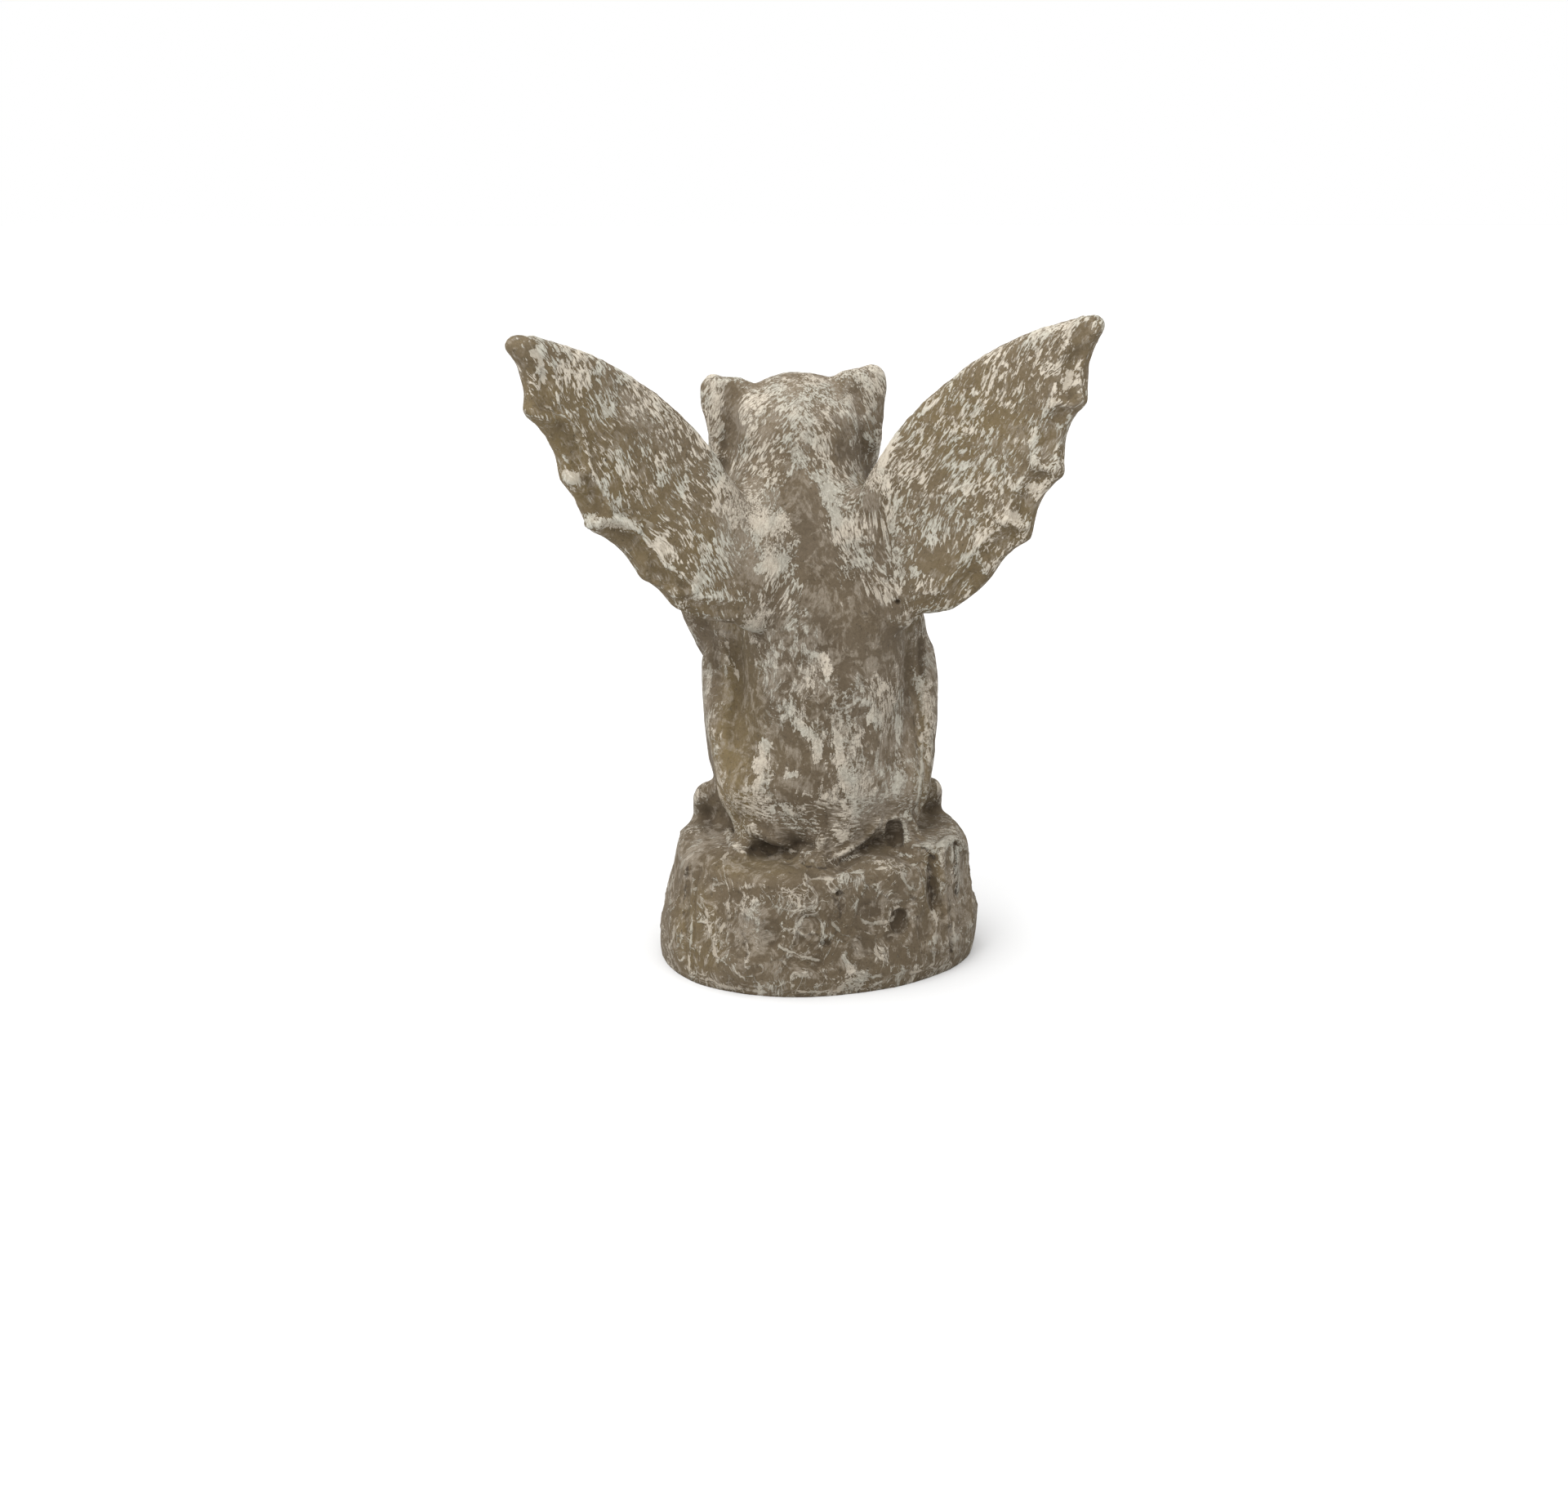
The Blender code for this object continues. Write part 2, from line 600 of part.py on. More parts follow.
def carved(mesh):
    """Presses the grooves into the skin, each deepest along its line."""
    points = points_of(mesh)
    normals = np.empty(len(mesh.vertices) * 3)
    mesh.vertices.foreach_get("normal", normals)
    normals = normals.reshape(-1, 3)
    cuts = []
    for line, width, depth in ROCK_GROOVES:
        placed = np.array([rock_point(*place) for place in line])
        cuts.append((placed, width * BASE_RADIUS, depth * BASE_RADIUS))
    for line, width, depth in FIGURE_GROOVES:
        for side in (1, -1):
            placed = np.array(line) * (side * UNIT, UNIT, UNIT) + (0, 0, SEAT)
            cuts.append((leaned(placed), width * UNIT, depth * UNIT))
    sunk = np.zeros(len(points))
    for line, width, depth in cuts:
        gap = line_distance(points, line)
        sunk = np.maximum(sunk, depth * np.exp(-(gap / width) ** 2))
    move_points(mesh, points - normals * sunk[:, None])
    return mesh


def blended(mesh):
    """Softens the joint where the wings spring from the back."""
    points = points_of(mesh)
    across = np.abs(points[:, 0] - FIGURE_LEAN) / UNIT
    height = (points[:, 2] - SEAT) / UNIT
    near = 1 - smooth_step(across, 20, 32)
    near *= smooth_step(height, 46, 54) * (1 - smooth_step(height, 80, 90))
    near *= smooth_step(points[:, 1] / UNIT, 4, 9)
    obj = object_of(mesh, "joint")
    group = obj.vertex_groups.new(name="joint")
    for i in np.flatnonzero(near > 0.01):
        group.add([int(i)], float(near[i]), "REPLACE")
    smooth = obj.modifiers.new("blend", "SMOOTH")
    smooth.factor = 0.5
    smooth.iterations = 30
    smooth.vertex_group = "joint"
    return settled_mesh(obj)


def cut_at_ground(mesh):
    """Cuts the solid off at the ground and closes it with a flat face."""
    body = bmesh.new()
    body.from_mesh(mesh)
    cut = bmesh.ops.bisect_plane(
        body, geom=body.verts[:] + body.edges[:] + body.faces[:], dist=1e-6,
        plane_co=(0, 0, 0), plane_no=(0, 0, -1), clear_outer=True,
    )
    rim = [e for e in cut["geom_cut"] if isinstance(e, bmesh.types.BMEdge)]
    bmesh.ops.contextual_create(body, geom=rim)
    bmesh.ops.triangulate(body, faces=body.faces[:])
    bmesh.ops.recalc_face_normals(body, faces=body.faces[:])
    body.to_mesh(mesh)
    body.free()
    return mesh


def coarsened(mesh):
    """The same form with no more faces than the solid may have, and its underside kept flat."""
    mesh.calc_loop_triangles()
    obj = object_of(mesh, "fine")
    decimate = obj.modifiers.new("coarsen", "DECIMATE")
    decimate.ratio = min(1.0, MOST_TRIANGLES / len(mesh.loop_triangles))
    coarse = settled_mesh(obj)
    points = points_of(coarse)
    points[points[:, 2] < 0.2 * CLAY_VOXEL, 2] = 0
    move_points(coarse, points)
    return coarse


def stone():
    material = bpy.data.materials.new("cast_stone")
    material.use_nodes = True
    shader = material.node_tree.nodes["Principled BSDF"]
    shader.inputs["Base Color"].default_value = STONE_COLOUR
    shader.inputs["Roughness"].default_value = STONE_ROUGHNESS
    shader.inputs["Metallic"].default_value = 0.0
    return material


def main():
    clear_scene()
    unit_ball()
    whole = fused(joined(figure_mesh(), rock_mesh()), CLAY_VOXEL, 2)
    solid = coarsened(cut_at_ground(carved(blended(whole))))
    solid.shade_smooth()
    solid.materials.clear()
    solid.materials.append(stone())
    collection = bpy.data.collections.new("gargoyle_statue")
    bpy.context.scene.collection.children.link(collection)
    collection.objects.link(bpy.data.objects.new("gargoyle", solid))


main()
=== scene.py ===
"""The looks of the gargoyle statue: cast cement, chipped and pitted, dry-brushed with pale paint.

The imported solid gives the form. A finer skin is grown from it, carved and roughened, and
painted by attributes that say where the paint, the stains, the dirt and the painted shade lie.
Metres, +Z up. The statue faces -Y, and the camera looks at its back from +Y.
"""

import math

import bmesh
import bpy
import numpy as np
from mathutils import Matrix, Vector
from mathutils.bvhtree import BVHTree


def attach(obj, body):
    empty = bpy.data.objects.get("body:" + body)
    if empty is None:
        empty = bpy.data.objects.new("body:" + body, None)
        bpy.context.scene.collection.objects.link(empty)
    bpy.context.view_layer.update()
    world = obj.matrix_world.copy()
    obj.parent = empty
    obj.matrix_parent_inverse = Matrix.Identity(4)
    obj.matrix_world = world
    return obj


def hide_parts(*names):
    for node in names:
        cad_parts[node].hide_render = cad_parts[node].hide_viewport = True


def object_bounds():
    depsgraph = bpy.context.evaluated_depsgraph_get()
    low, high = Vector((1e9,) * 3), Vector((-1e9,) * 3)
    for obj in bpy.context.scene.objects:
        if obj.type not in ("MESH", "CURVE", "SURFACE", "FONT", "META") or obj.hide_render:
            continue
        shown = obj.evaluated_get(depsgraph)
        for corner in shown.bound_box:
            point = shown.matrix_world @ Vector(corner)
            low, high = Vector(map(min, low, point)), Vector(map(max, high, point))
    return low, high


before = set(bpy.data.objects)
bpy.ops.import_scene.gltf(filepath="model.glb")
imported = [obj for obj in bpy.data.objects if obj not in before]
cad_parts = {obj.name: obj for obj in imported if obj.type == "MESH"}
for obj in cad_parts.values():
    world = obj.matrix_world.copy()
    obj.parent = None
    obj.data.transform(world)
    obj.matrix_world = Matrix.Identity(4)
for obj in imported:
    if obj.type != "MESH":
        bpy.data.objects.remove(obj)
CAD_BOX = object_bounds()

# The photograph's frame, and the camera that sees it so
IMAGE_WIDTH, IMAGE_HEIGHT = 1920, 1823
LENS, SENSOR = 50.0, 36.0
FOCAL = LENS / SENSOR * IMAGE_WIDTH
CAMERA_DISTANCE, CAMERA_HEIGHT = 1.30, 0.45
CAMERA_AROUND = math.radians(6.0)
CAMERA_AIM = math.radians(5.03)
CAMERA_PITCH = math.radians(-13.8)

# The light, from behind the camera's left shoulder, and the floor
SKY_TOWARDS = (0.45, 0.30, 1.0)
SKY_STRENGTH = 2.6
KEY_PLACE, KEY_TARGET = (0.9, 1.3, 1.9), (0, 0, 0.2)
KEY_SIZE, KEY_POWER = 1.0, 14
FLOOR_ALBEDO = 0.60
FLOOR_REACH = 60.0

# The part's own sizes that the relief follows
FIGURE_HEIGHT = 0.288
UNIT = FIGURE_HEIGHT / 100
FIGURE_SINK = 0.009
SEAT = 0.079 - FIGURE_SINK
FIGURE_LEAN, FIGURE_ASIDE = 0.0167, 0.0012
LEAN_FROM, LEAN_TO = SEAT + 0.42 * FIGURE_HEIGHT, SEAT + 0.84 * FIGURE_HEIGHT
HEAD_ROLL = math.radians(3.5)
HEAD_ASIDE = -0.0013
HEAD_MIDDLE = 88
WING_ROLL = math.radians(1.7)
WING_SPAN, WING_HEIGHT = 0.1605, 0.169
WING_THICKNESS = 0.017
WING_SWEEP = math.radians(25)
WING_ROOT = (8.0 * UNIT, 11.8 * UNIT, 51.2 * UNIT)

# How finely the skin is cut
ROUGH_VOXEL, SKIN_VOXEL = 0.0016, 0.0012
MOST_TRIANGLES = 195000
FOOT_HEIGHT, FOOT_DROP, FOOT_FLAT = 0.014, 0.002, 0.0006
FOOT_SECTORS, FOOT_ROUNDS = 180, 30


def loose_object(data, name):
    """An object of the scene that rides on nothing yet."""
    obj = bpy.data.objects.new(name, data)
    bpy.context.scene.collection.objects.link(obj)
    return obj


def changed(mesh, *modifiers):
    """The mesh that modifiers make of this one, each a kind and its settings."""
    obj = loose_object(mesh, "clay")
    for kind, settings in modifiers:
        modifier = obj.modifiers.new(kind, kind)
        for name, value in settings.items():
            setattr(modifier, name, value)
    graph = bpy.context.evaluated_depsgraph_get()
    made = bpy.data.meshes.new_from_object(obj.evaluated_get(graph))
    bpy.data.objects.remove(obj)
    return made


def points_and_normals(mesh):
    """The place and the normal of every vertex."""
    both = []
    for name in ("co", "normal"):
        values = np.empty(len(mesh.vertices) * 3)
        mesh.vertices.foreach_get(name, values)
        both.append(values.reshape(-1, 3))
    return both


def move_points(mesh, points):
    mesh.vertices.foreach_set("co", points.ravel())
    mesh.update()


def ray_tree(mesh):
    """The mesh as a tree that finds where a sight line meets it."""
    mesh.calc_loop_triangles()
    faces = [tuple(triangle.vertices) for triangle in mesh.loop_triangles]
    return BVHTree.FromPolygons([vert.co for vert in mesh.vertices], faces)


def poured_in(mesh, body):
    """Adds the balls of an edited body to the mesh."""
    body.from_mesh(mesh)
    body.to_mesh(mesh)
    body.free()


def smooth_step(value, low, high):
    """A smooth step from 0 at low to 1 at high."""
    share = np.clip((value - low) / (high - low), 0, 1)
    return share * share * (3 - 2 * share)


def fading(value, low, high):
    """A smooth step from 1 at low to 0 at high."""
    return 1 - smooth_step(value, low, high)


def bulge(gap, height, middle, width, wander=0):
    """A smooth hump of some height and half width, on the gap that is its middle."""
    return height * np.exp(-((gap - middle - wander) / width) ** 2)


# The camera, as numbers, so that marks can be placed by where the photograph shows them


def camera_axes():
    """Where the camera is, and its right, up and forward directions."""
    place = np.array([
        CAMERA_DISTANCE * math.sin(CAMERA_AROUND),
        CAMERA_DISTANCE * math.cos(CAMERA_AROUND),
        CAMERA_HEIGHT,
    ])
    forward = np.array([
        -math.sin(CAMERA_AIM) * math.cos(CAMERA_PITCH),
        -math.cos(CAMERA_AIM) * math.cos(CAMERA_PITCH),
        math.sin(CAMERA_PITCH),
    ])
    right = np.cross(forward, (0, 0, 1))
    right /= np.linalg.norm(right)
    return place, right, np.cross(right, forward), forward


EYE, RIGHT, UP, FORWARD = camera_axes()


def seen_at(points):
    """Each point's column and row in the photograph."""
    away = points - EYE
    depth = away @ FORWARD
    return np.stack([
        IMAGE_WIDTH / 2 + FOCAL * (away @ RIGHT) / depth,
        IMAGE_HEIGHT / 2 - FOCAL * (away @ UP) / depth,
    ], -1)


# Noise on a lattice of random values, the same on every run

LATTICE_SIZE = 64
LATTICE = np.random.default_rng(7).random((LATTICE_SIZE,) * 3)
LATTICE_START, SEED_SHIFT = 1000, 17.31


def on_lattice(points, often, seed):
    """Where points lie on the lattice, and in which of its cells."""
    place = points * often + seed * SEED_SHIFT + LATTICE_START
    return place, np.floor(place).astype(int)


def value_noise(points, often, seed):
    """Smooth noise from 0 to 1 that changes so many times in a metre."""
    place, cell = on_lattice(points, often, seed)
    part = smooth_step(place - cell, 0, 1)
    total = 0
    for step in np.ndindex(2, 2, 2):
        weight = np.prod(np.where(step, part, 1 - part), 1)
        a, b, c = ((cell + step) % LATTICE_SIZE).T
        total = total + weight * LATTICE[a, b, c]
    return total


def layered_noise(points, often, layers, seed):
    """Noise with finer and fainter layers on top, from 0 to 1."""
    total = weight = 0
    for k in range(layers):
        total = total + value_noise(points, often * 2 ** k, seed + k) * 0.5 ** k
        weight += 0.5 ** k
    return total / weight


def cells(points, often, seed):
    """Space parted among scattered centres: how far the nearest is, how near its border, and its luck."""
    place, cell = on_lattice(points, often, seed)
    nearest = np.full(len(points), np.inf)
    second = np.full(len(points), np.inf)
    luck = np.zeros(len(points))
    for step in np.ndindex(3, 3, 3):
        centre = cell + np.array(step) - 1
        a, b, c = (centre % LATTICE_SIZE).T
        offset = np.stack([LATTICE[a, b, c], LATTICE[b, c, a], LATTICE[c, a, b]], 1)
        gap = np.linalg.norm(place - centre - offset, axis=1)
        luck = np.where(gap < nearest, LATTICE[a, c, b], luck)
        second = np.minimum(second, np.maximum(nearest, gap))
        nearest = np.minimum(nearest, gap)
    return nearest, second - nearest, luck


# The figure's own frame, in hundredths of its height, before it leans and tips its head


def lean_aside(height):
    return FIGURE_LEAN * smooth_step(height, LEAN_FROM, LEAN_TO) - FIGURE_ASIDE


def rolled(x, z, middle, angle):
    """Places turned about a middle height, from +Z towards +X."""
    rise = z - middle
    return (
        x * math.cos(angle) + rise * math.sin(angle),
        middle + rise * math.cos(angle) - x * math.sin(angle),
    )


def figure_place(rows, side=1, head=False):
    """Points of the figure's frame in metres. The head's are tipped with it."""
    x, y, z = np.array(rows, float).T
    x = x * side
    if head:
        x, z = rolled(x, z, HEAD_MIDDLE, HEAD_ROLL)
        x = x + HEAD_ASIDE / UNIT
    height = z * UNIT + SEAT
    return np.stack([x * UNIT + lean_aside(height), y * UNIT, height], 1)


def wing_place(points):
    """Where points lie on the wing of their side: out from its root, up, and back from its plane."""
    side = np.where(points[:, 0] > FIGURE_LEAN, 1.0, -1.0)
    x = points[:, 0] - lean_aside(points[:, 2])
    x, z = rolled(x, points[:, 2] - SEAT, WING_ROOT[2] + 0.4 * WING_HEIGHT, -WING_ROLL)
    across = x * side - WING_ROOT[0]
    back = points[:, 1] - WING_ROOT[1]
    out = across
    for _ in range(6):
        swept = WING_SWEEP * (0.75 + 0.5 * out / WING_SPAN)
        out = across * np.cos(swept) + back * np.sin(swept)
    return side, out, z - WING_ROOT[2], back * np.cos(swept) - across * np.sin(swept)


# The wings' scalloped rims, as points and middles in turn, in shares of the span and height. The
# first is the wing on the +X side, which the photograph shows at its left
RIMS = (
    (1, (
        (1.004, 0.98), (0.934, 0.88), (0.942, 0.768), (0.835, 0.675), (0.806, 0.543), (0.738, 0.45),
        (0.724, 0.368), (0.592, 0.277), (0.56, 0.186), (0.482, 0.136), (0.453, 0.076), (0.3, 0.012),
        (0, -0.01),
    )),
    (-1, (
        (1.004, 0.98), (0.932, 0.856), (0.936, 0.742), (0.847, 0.63), (0.847, 0.498), (0.742, 0.405),
        (0.69, 0.277), (0.56, 0.205), (0.5, 0.138), (0.4, 0.065), (0.32, 0.014), (0.16, -0.006),
        (0, -0.01),
    )),
)
WING_WRIST = (0.43, 0.70)
SCALLOP_STEPS = 8


def curved(rows, steps):
    """A smooth line through every row."""
    rows = np.array(rows, float)
    line = []
    for k in range(len(rows) - 1):
        before, here, there, after = (rows[max(0, min(len(rows) - 1, k + j))] for j in (-1, 0, 1, 2))
        for t in np.arange(steps) / steps:
            line.append(0.5 * (
                2 * here + (there - before) * t
                + (2 * before - 5 * here + 4 * there - after) * t ** 2
                + (3 * here - before - 3 * there + after) * t ** 3
            ))
    return np.array(line + [rows[-1]])


def scalloped(rows):
    """The rim through the scallops' points and middles, in metres on the wing's plane."""
    rim = []
    for k in range(0, len(rows) - 2, 2):
        start, middle, end = (np.array(row) for row in rows[k:k + 3])
        pull = 2 * middle - 0.5 * (start + end)
        for t in np.arange(SCALLOP_STEPS) / SCALLOP_STEPS:
            rim.append((1 - t) ** 2 * start + 2 * t * (1 - t) * pull + t ** 2 * end)
    return np.array(rim + [rows[-1]]) * (WING_SPAN, WING_HEIGHT)


def segment_gap(away, along):
    """The distance to a straight piece of line, of points given from its start."""
    share = np.clip(away @ along / (along @ along), 0, 1)
    return np.linalg.norm(away - share[:, None] * along, axis=1)


def line_gap(points, line):
    """Each point's distance to a line, in as many dimensions as they have."""
    nearest = np.full(len(points), np.inf)
    for start, end in zip(line, line[1:]):
        nearest = np.minimum(nearest, segment_gap(points - start, end - start))
    return nearest


def paired(numbers):
    """Columns and rows that are written one after the other, as points."""
    return np.array(numbers, float).reshape(-1, 2)


# Clay that is added to the solid: balls, and sweeps of balls


class Clay:
    """Balls in the figure's units, or on the face, at a depth behind its front."""

    def __init__(self, head=False, front=None):
        self.body = bmesh.new()
        self.head = head
        self.front = front

    def ball(self, centre, radii, pair=True):
        for side in (1, -1) if pair else (1,):
            place = Vector(figure_place([centre], side, self.head)[0])
            if self.front:
                start = Vector((place.x, -1, place.z))
                found = self.front.ray_cast(start, Vector((0, 1, 0)))[0]
                place.y = found.y + centre[1] * UNIT
            made = bmesh.ops.create_icosphere(self.body, subdivisions=2, radius=1.0)["verts"]
            size = Vector(radii) * UNIT
            for vert in made:
                vert.co = place + vert.co * size

    def sweep(self, stations, steps):
        """A ball at each step along stations that give its place and radius."""
        for row in curved(stations, max(1, steps // (len(stations) - 1))):
            self.ball(row[:3], (row[3],) * 3)


def add_face(mesh):
    """Eyes with lids, a drawn brow, whisker pads and fangs: a beast of no kind in particular."""
    front = ray_tree(mesh)
    clay = Clay(head=True)
    # The whisker pads, then the nose and the sides of its nostrils
    clay.ball((3.5, -24.3, 80.7), (3.5, 3.4, 3.1))
    clay.ball((0, -26.9, 85.0), (3.3, 2.3, 2.2), pair=False)
    clay.ball((2.3, -26.6, 84.3), (1.7, 1.9, 1.5))
    poured_in(mesh, clay.body)
    clay = Clay(head=True, front=front)
    # The eyeball, its upper and lower lids, and the brow
    clay.ball((6.0, 0.3, 87.6), (2.5, 2.2, 2.1))
    clay.sweep([(2.9, 0.2, 87.4, 0.9), (6.0, -0.7, 89.7, 1.1), (9.2, 0.2, 87.9, 0.9)], 14)
    clay.sweep([(3.1, 0.2, 86.6, 0.8), (6.0, -0.3, 85.2, 1.0), (9.0, 0.3, 86.7, 0.8)], 14)
    clay.sweep([(1.8, 0.9, 90.8, 1.2), (5.6, 1.2, 92.8, 1.5), (9.8, 1.2, 93.6, 1.4)], 14)
    # The cheek, and the fang
    clay.sweep([(9.8, 1.0, 84.2, 1.5), (11.8, 1.0, 81.2, 1.8), (10.4, 1.0, 77.4, 1.5)], 10)
    clay.sweep([(3.6, 0.1, 78.8, 1.3), (3.7, -0.2, 76.8, 1.1), (3.8, -0.4, 74.2, 0.6)], 10)
    poured_in(mesh, clay.body)


def add_claws(mesh):
    """A claw on each toe of the feet and the paws."""
    clay = Clay()
    for out, reach in ((14.6, -18.9), (18.2, -19.9), (21.8, -18.5)):
        clay.sweep([(out, reach, 2.6, 1.3), (out, reach - 2.0, 1.6, 1.0), (out, reach - 3.6, 0.0, 0.4)], 8)
    for out in (5.2, 8.2, 11.2):
        clay.sweep([(out, -27.0, 2.6, 1.2), (out, -28.8, 1.4, 0.9), (out, -30.0, 0.0, 0.4)], 8)
    poured_in(mesh, clay.body)


# Carving. A groove has its width, its depth, which is below zero for a ridge, and then its points

FACE_GROOVES = (
    (2.2, 0.8, (4.8, -20.4, 88), (7.4, -19.4, 88)), (0.9, 1.1, (5.7, -21.6, 87.5), (5.8, -22, 87.4)),
    (0.9, 0.9, (0, -22.6, 94), (0, -23.6, 90)), (0.7, 0.5, (2, -21.6, 95), (1.7, -23.3, 91.4)),
    (0.6, 0.8, (0, -28.8, 82.6), (0, -28.3, 79.4)),
    (0.85, 2, (0, -28, 78.6), (3.8, -27.4, 77.6), (7, -22.8, 76.8), (8.8, -17.6, 78.2)),
    (0.8, 1.3, (1.6, -29.2, 84.4), (2.2, -28.8, 84.2)),
    (1, 0.9, (4.6, -26.5, 84.2), (7.2, -22, 82.8), (9, -17.6, 79.6)),
    (0.7, 0.6, (9.4, -17, 86), (12.2, -12.6, 86.6)), (0.7, 0.7, (9.6, -16.6, 82.6), (13.6, -10.6, 79.6)),
    (0.7, 0.7, (8.4, -17.6, 80.4), (11.8, -12.4, 76.6)),
    (0.7, 0.5, (5.2, -17.6, 96.4), (8.6, -13.4, 97.4), (10.4, -8.6, 97.6)),
    (1.9, 2.2, (14.6, -8.2, 96.6), (14.2, -8.6, 93.6), (13.6, -8.8, 90.2)),
)
BODY_GROOVES = (
    (1.2, 0.9, (0, -18, 68), (0, -17.4, 58), (0, -15.6, 48)),
    (0.9, 1, (3, -17.4, 52.6), (8, -16.4, 51.4), (13, -12.6, 54)),
    (0.8, 0.5, (3, -16.8, 45), (9.4, -15.4, 44)), (0.8, 0.5, (3, -17.2, 38), (9, -15.8, 37)),
    (0.9, 0.8, (13.2, -12.4, 63.6), (16.4, -12.8, 57), (16.6, -13.6, 49)),
    (0.9, 0.6, (24.4, -7.2, 58), (24, -10, 50), (22.2, -13.4, 43.4)),
    (0.8, 0.6, (16.6, -19, 34), (13.8, -22.2, 24), (11.4, -23.2, 13)),
    (0.8, 0.7, (23.4, -7.4, 33), (24, -6, 22), (22.4, -6.2, 12)),
    (0.7, 1, (16.4, -12, 5.2), (16.4, -18.6, 4)), (0.7, 1, (20, -12, 5.2), (20, -18.8, 4)),
    (0.6, 0.9, (6.7, -24.2, 5.6), (6.7, -28.4, 3)), (0.6, 0.9, (9.7, -24.2, 5.6), (9.7, -28.4, 3)),
)

# The same by the photograph: width in its pixels, depth in millimetres, then columns and rows
BROAD_MARKS = (
    (5, 2.2, 886, 474, 887, 500, 890, 520, 886, 548), (7, 1.6, 897, 512, 905, 530),
    (9, 2, 1028, 520, 1040, 528), (5, 1.2, 1028, 545, 1029, 562), (15, 1.8, 968, 592, 986, 640, 1000, 700),
    (17, 0.8, 914, 625, 902, 655, 902, 690, 898, 735), (11, 1, 1062, 620, 1080, 660, 1090, 705),
    (7, 2.4, 874, 795, 878, 825, 884, 850), (5, 2.4, 1128, 785, 1127, 825), (6, 1, 1014, 1000, 1018, 1030),
    (8, 2.6, 926, 1039, 944, 1045, 960, 1048),
    (5, 2.4, 962, 1049, 980, 1057, 996, 1066, 1008, 1070, 1022, 1064, 1040, 1051, 1062, 1036),
    (4, 1.8, 1122, 1020, 1130, 1035, 1143, 1050), (14, 0.9, 1000, 800, 1010, 900, 1012, 960),
    (12, 0.8, 950, 880, 955, 950), (12, 0.8, 1058, 880, 1056, 960), (8, 1.4, 1091, 1145, 1090, 1148),
    (7, 1.2, 1029, 1102, 1030, 1114),
)
FINE_MARKS = (
    (4.5, 3, 1141, 1050, 1141, 1075, 1143, 1096, 1145, 1110),
    (2, 0.9, 846, 1060, 841, 1090, 840, 1120, 838, 1150), (3.5, 1.2, 1062, 455, 1068, 462),
    (3.5, 0.9, 1042, 500, 1054, 520, 1058, 545), (1.8, 0.8, 1056, 545, 1056, 566),
    (1.8, 0.4, 1071, 545, 1073, 572), (3, 1.8, 843, 748, 862, 757, 880, 764, 897, 765),
    (3, 1.2, 866, 945, 880, 965, 893, 990), (3.5, -0.7, 889, 898, 895, 940, 904, 994),
    (3.5, -0.8, 877, 771, 886, 795, 897, 816),
    (1.6, -0.5, 1111, 842, 1118, 860, 1128, 905, 1129, 950, 1122, 990, 1125, 1014),
    (2, 0.6, 1116, 842, 1123, 860, 1133, 905, 1134, 950, 1127, 990, 1129, 1014),
    (2.5, -0.6, 1124, 755, 1119, 780, 1116, 805), (2, 1.4, 1171, 1073, 1171, 1092),
    (2, 1.2, 1165, 1105, 1165, 1140, 1166, 1175),
    (2.2, 0.9, 856, 1062, 850, 1085, 848, 1108, 848, 1145, 847, 1186),
    (2.4, -0.5, 843, 1062, 838, 1085, 836, 1108, 835, 1145, 836, 1176),
    (2.6, -0.8, 864, 1112, 870, 1138, 878, 1163), (1.8, -0.7, 895, 1130, 908, 1165, 925, 1205),
    (2.4, -0.7, 970, 1100, 982, 1117, 1004, 1111, 1010, 1120),
    (2.6, -0.7, 1083, 1110, 1092, 1112, 1108, 1112, 1113, 1124),
    (2.2, -0.6, 940, 1175, 962, 1170, 992, 1174, 1000, 1168),
    (3, -0.7, 868, 1072, 900, 1086, 940, 1082, 975, 1088), (3, -0.7, 1060, 1058, 1100, 1050, 1134, 1054),
    (2.6, 1, 795, 1150, 812, 1170, 826, 1192),
)
# Rolls of clay laid on the skin: radius in millimetres, how much of it shows, columns and rows
ROLLS = (
    (4.6, 0.34, 922, 1014, 940, 1022, 958, 1030, 976, 1039, 992, 1049, 1004, 1055),
    (3, 0.38, 1004, 1058, 1018, 1054, 1034, 1043, 1052, 1030, 1066, 1017, 1074, 1004),
    (4.5, 0.35, 1006, 1030, 1005, 1044, 1004, 1056),
    (2, 0.5, 1079, 1024, 1082, 1008, 1092, 1000, 1103, 1003, 1109, 1018, 1109, 1034),
    (3.6, 0.4, 893, 1020, 900, 1036, 912, 1048), (3, 0.4, 1112, 1000, 1119, 1014, 1124, 1026),
    (3.6, 0.4, 1152, 1040, 1160, 1030, 1174, 1030, 1181, 1042),
    (3.6, 0.4, 1151, 1046, 1153, 1070, 1156, 1100, 1160, 1130), (3.4, 0.45, 694, 585, 706, 590, 718, 600),
    (3.6, 0.45, 722, 640, 742, 638, 764, 642, 778, 648), (2.8, 0.4, 646, 500, 662, 506, 676, 516),
    (3, 0.4, 803, 712, 822, 722, 846, 726), (3.2, 0.45, 1255, 642, 1240, 640, 1224, 634),
    (3, 0.4, 1294, 572, 1280, 572, 1268, 566), (2.8, 0.4, 1322, 487, 1308, 492, 1296, 490),
)
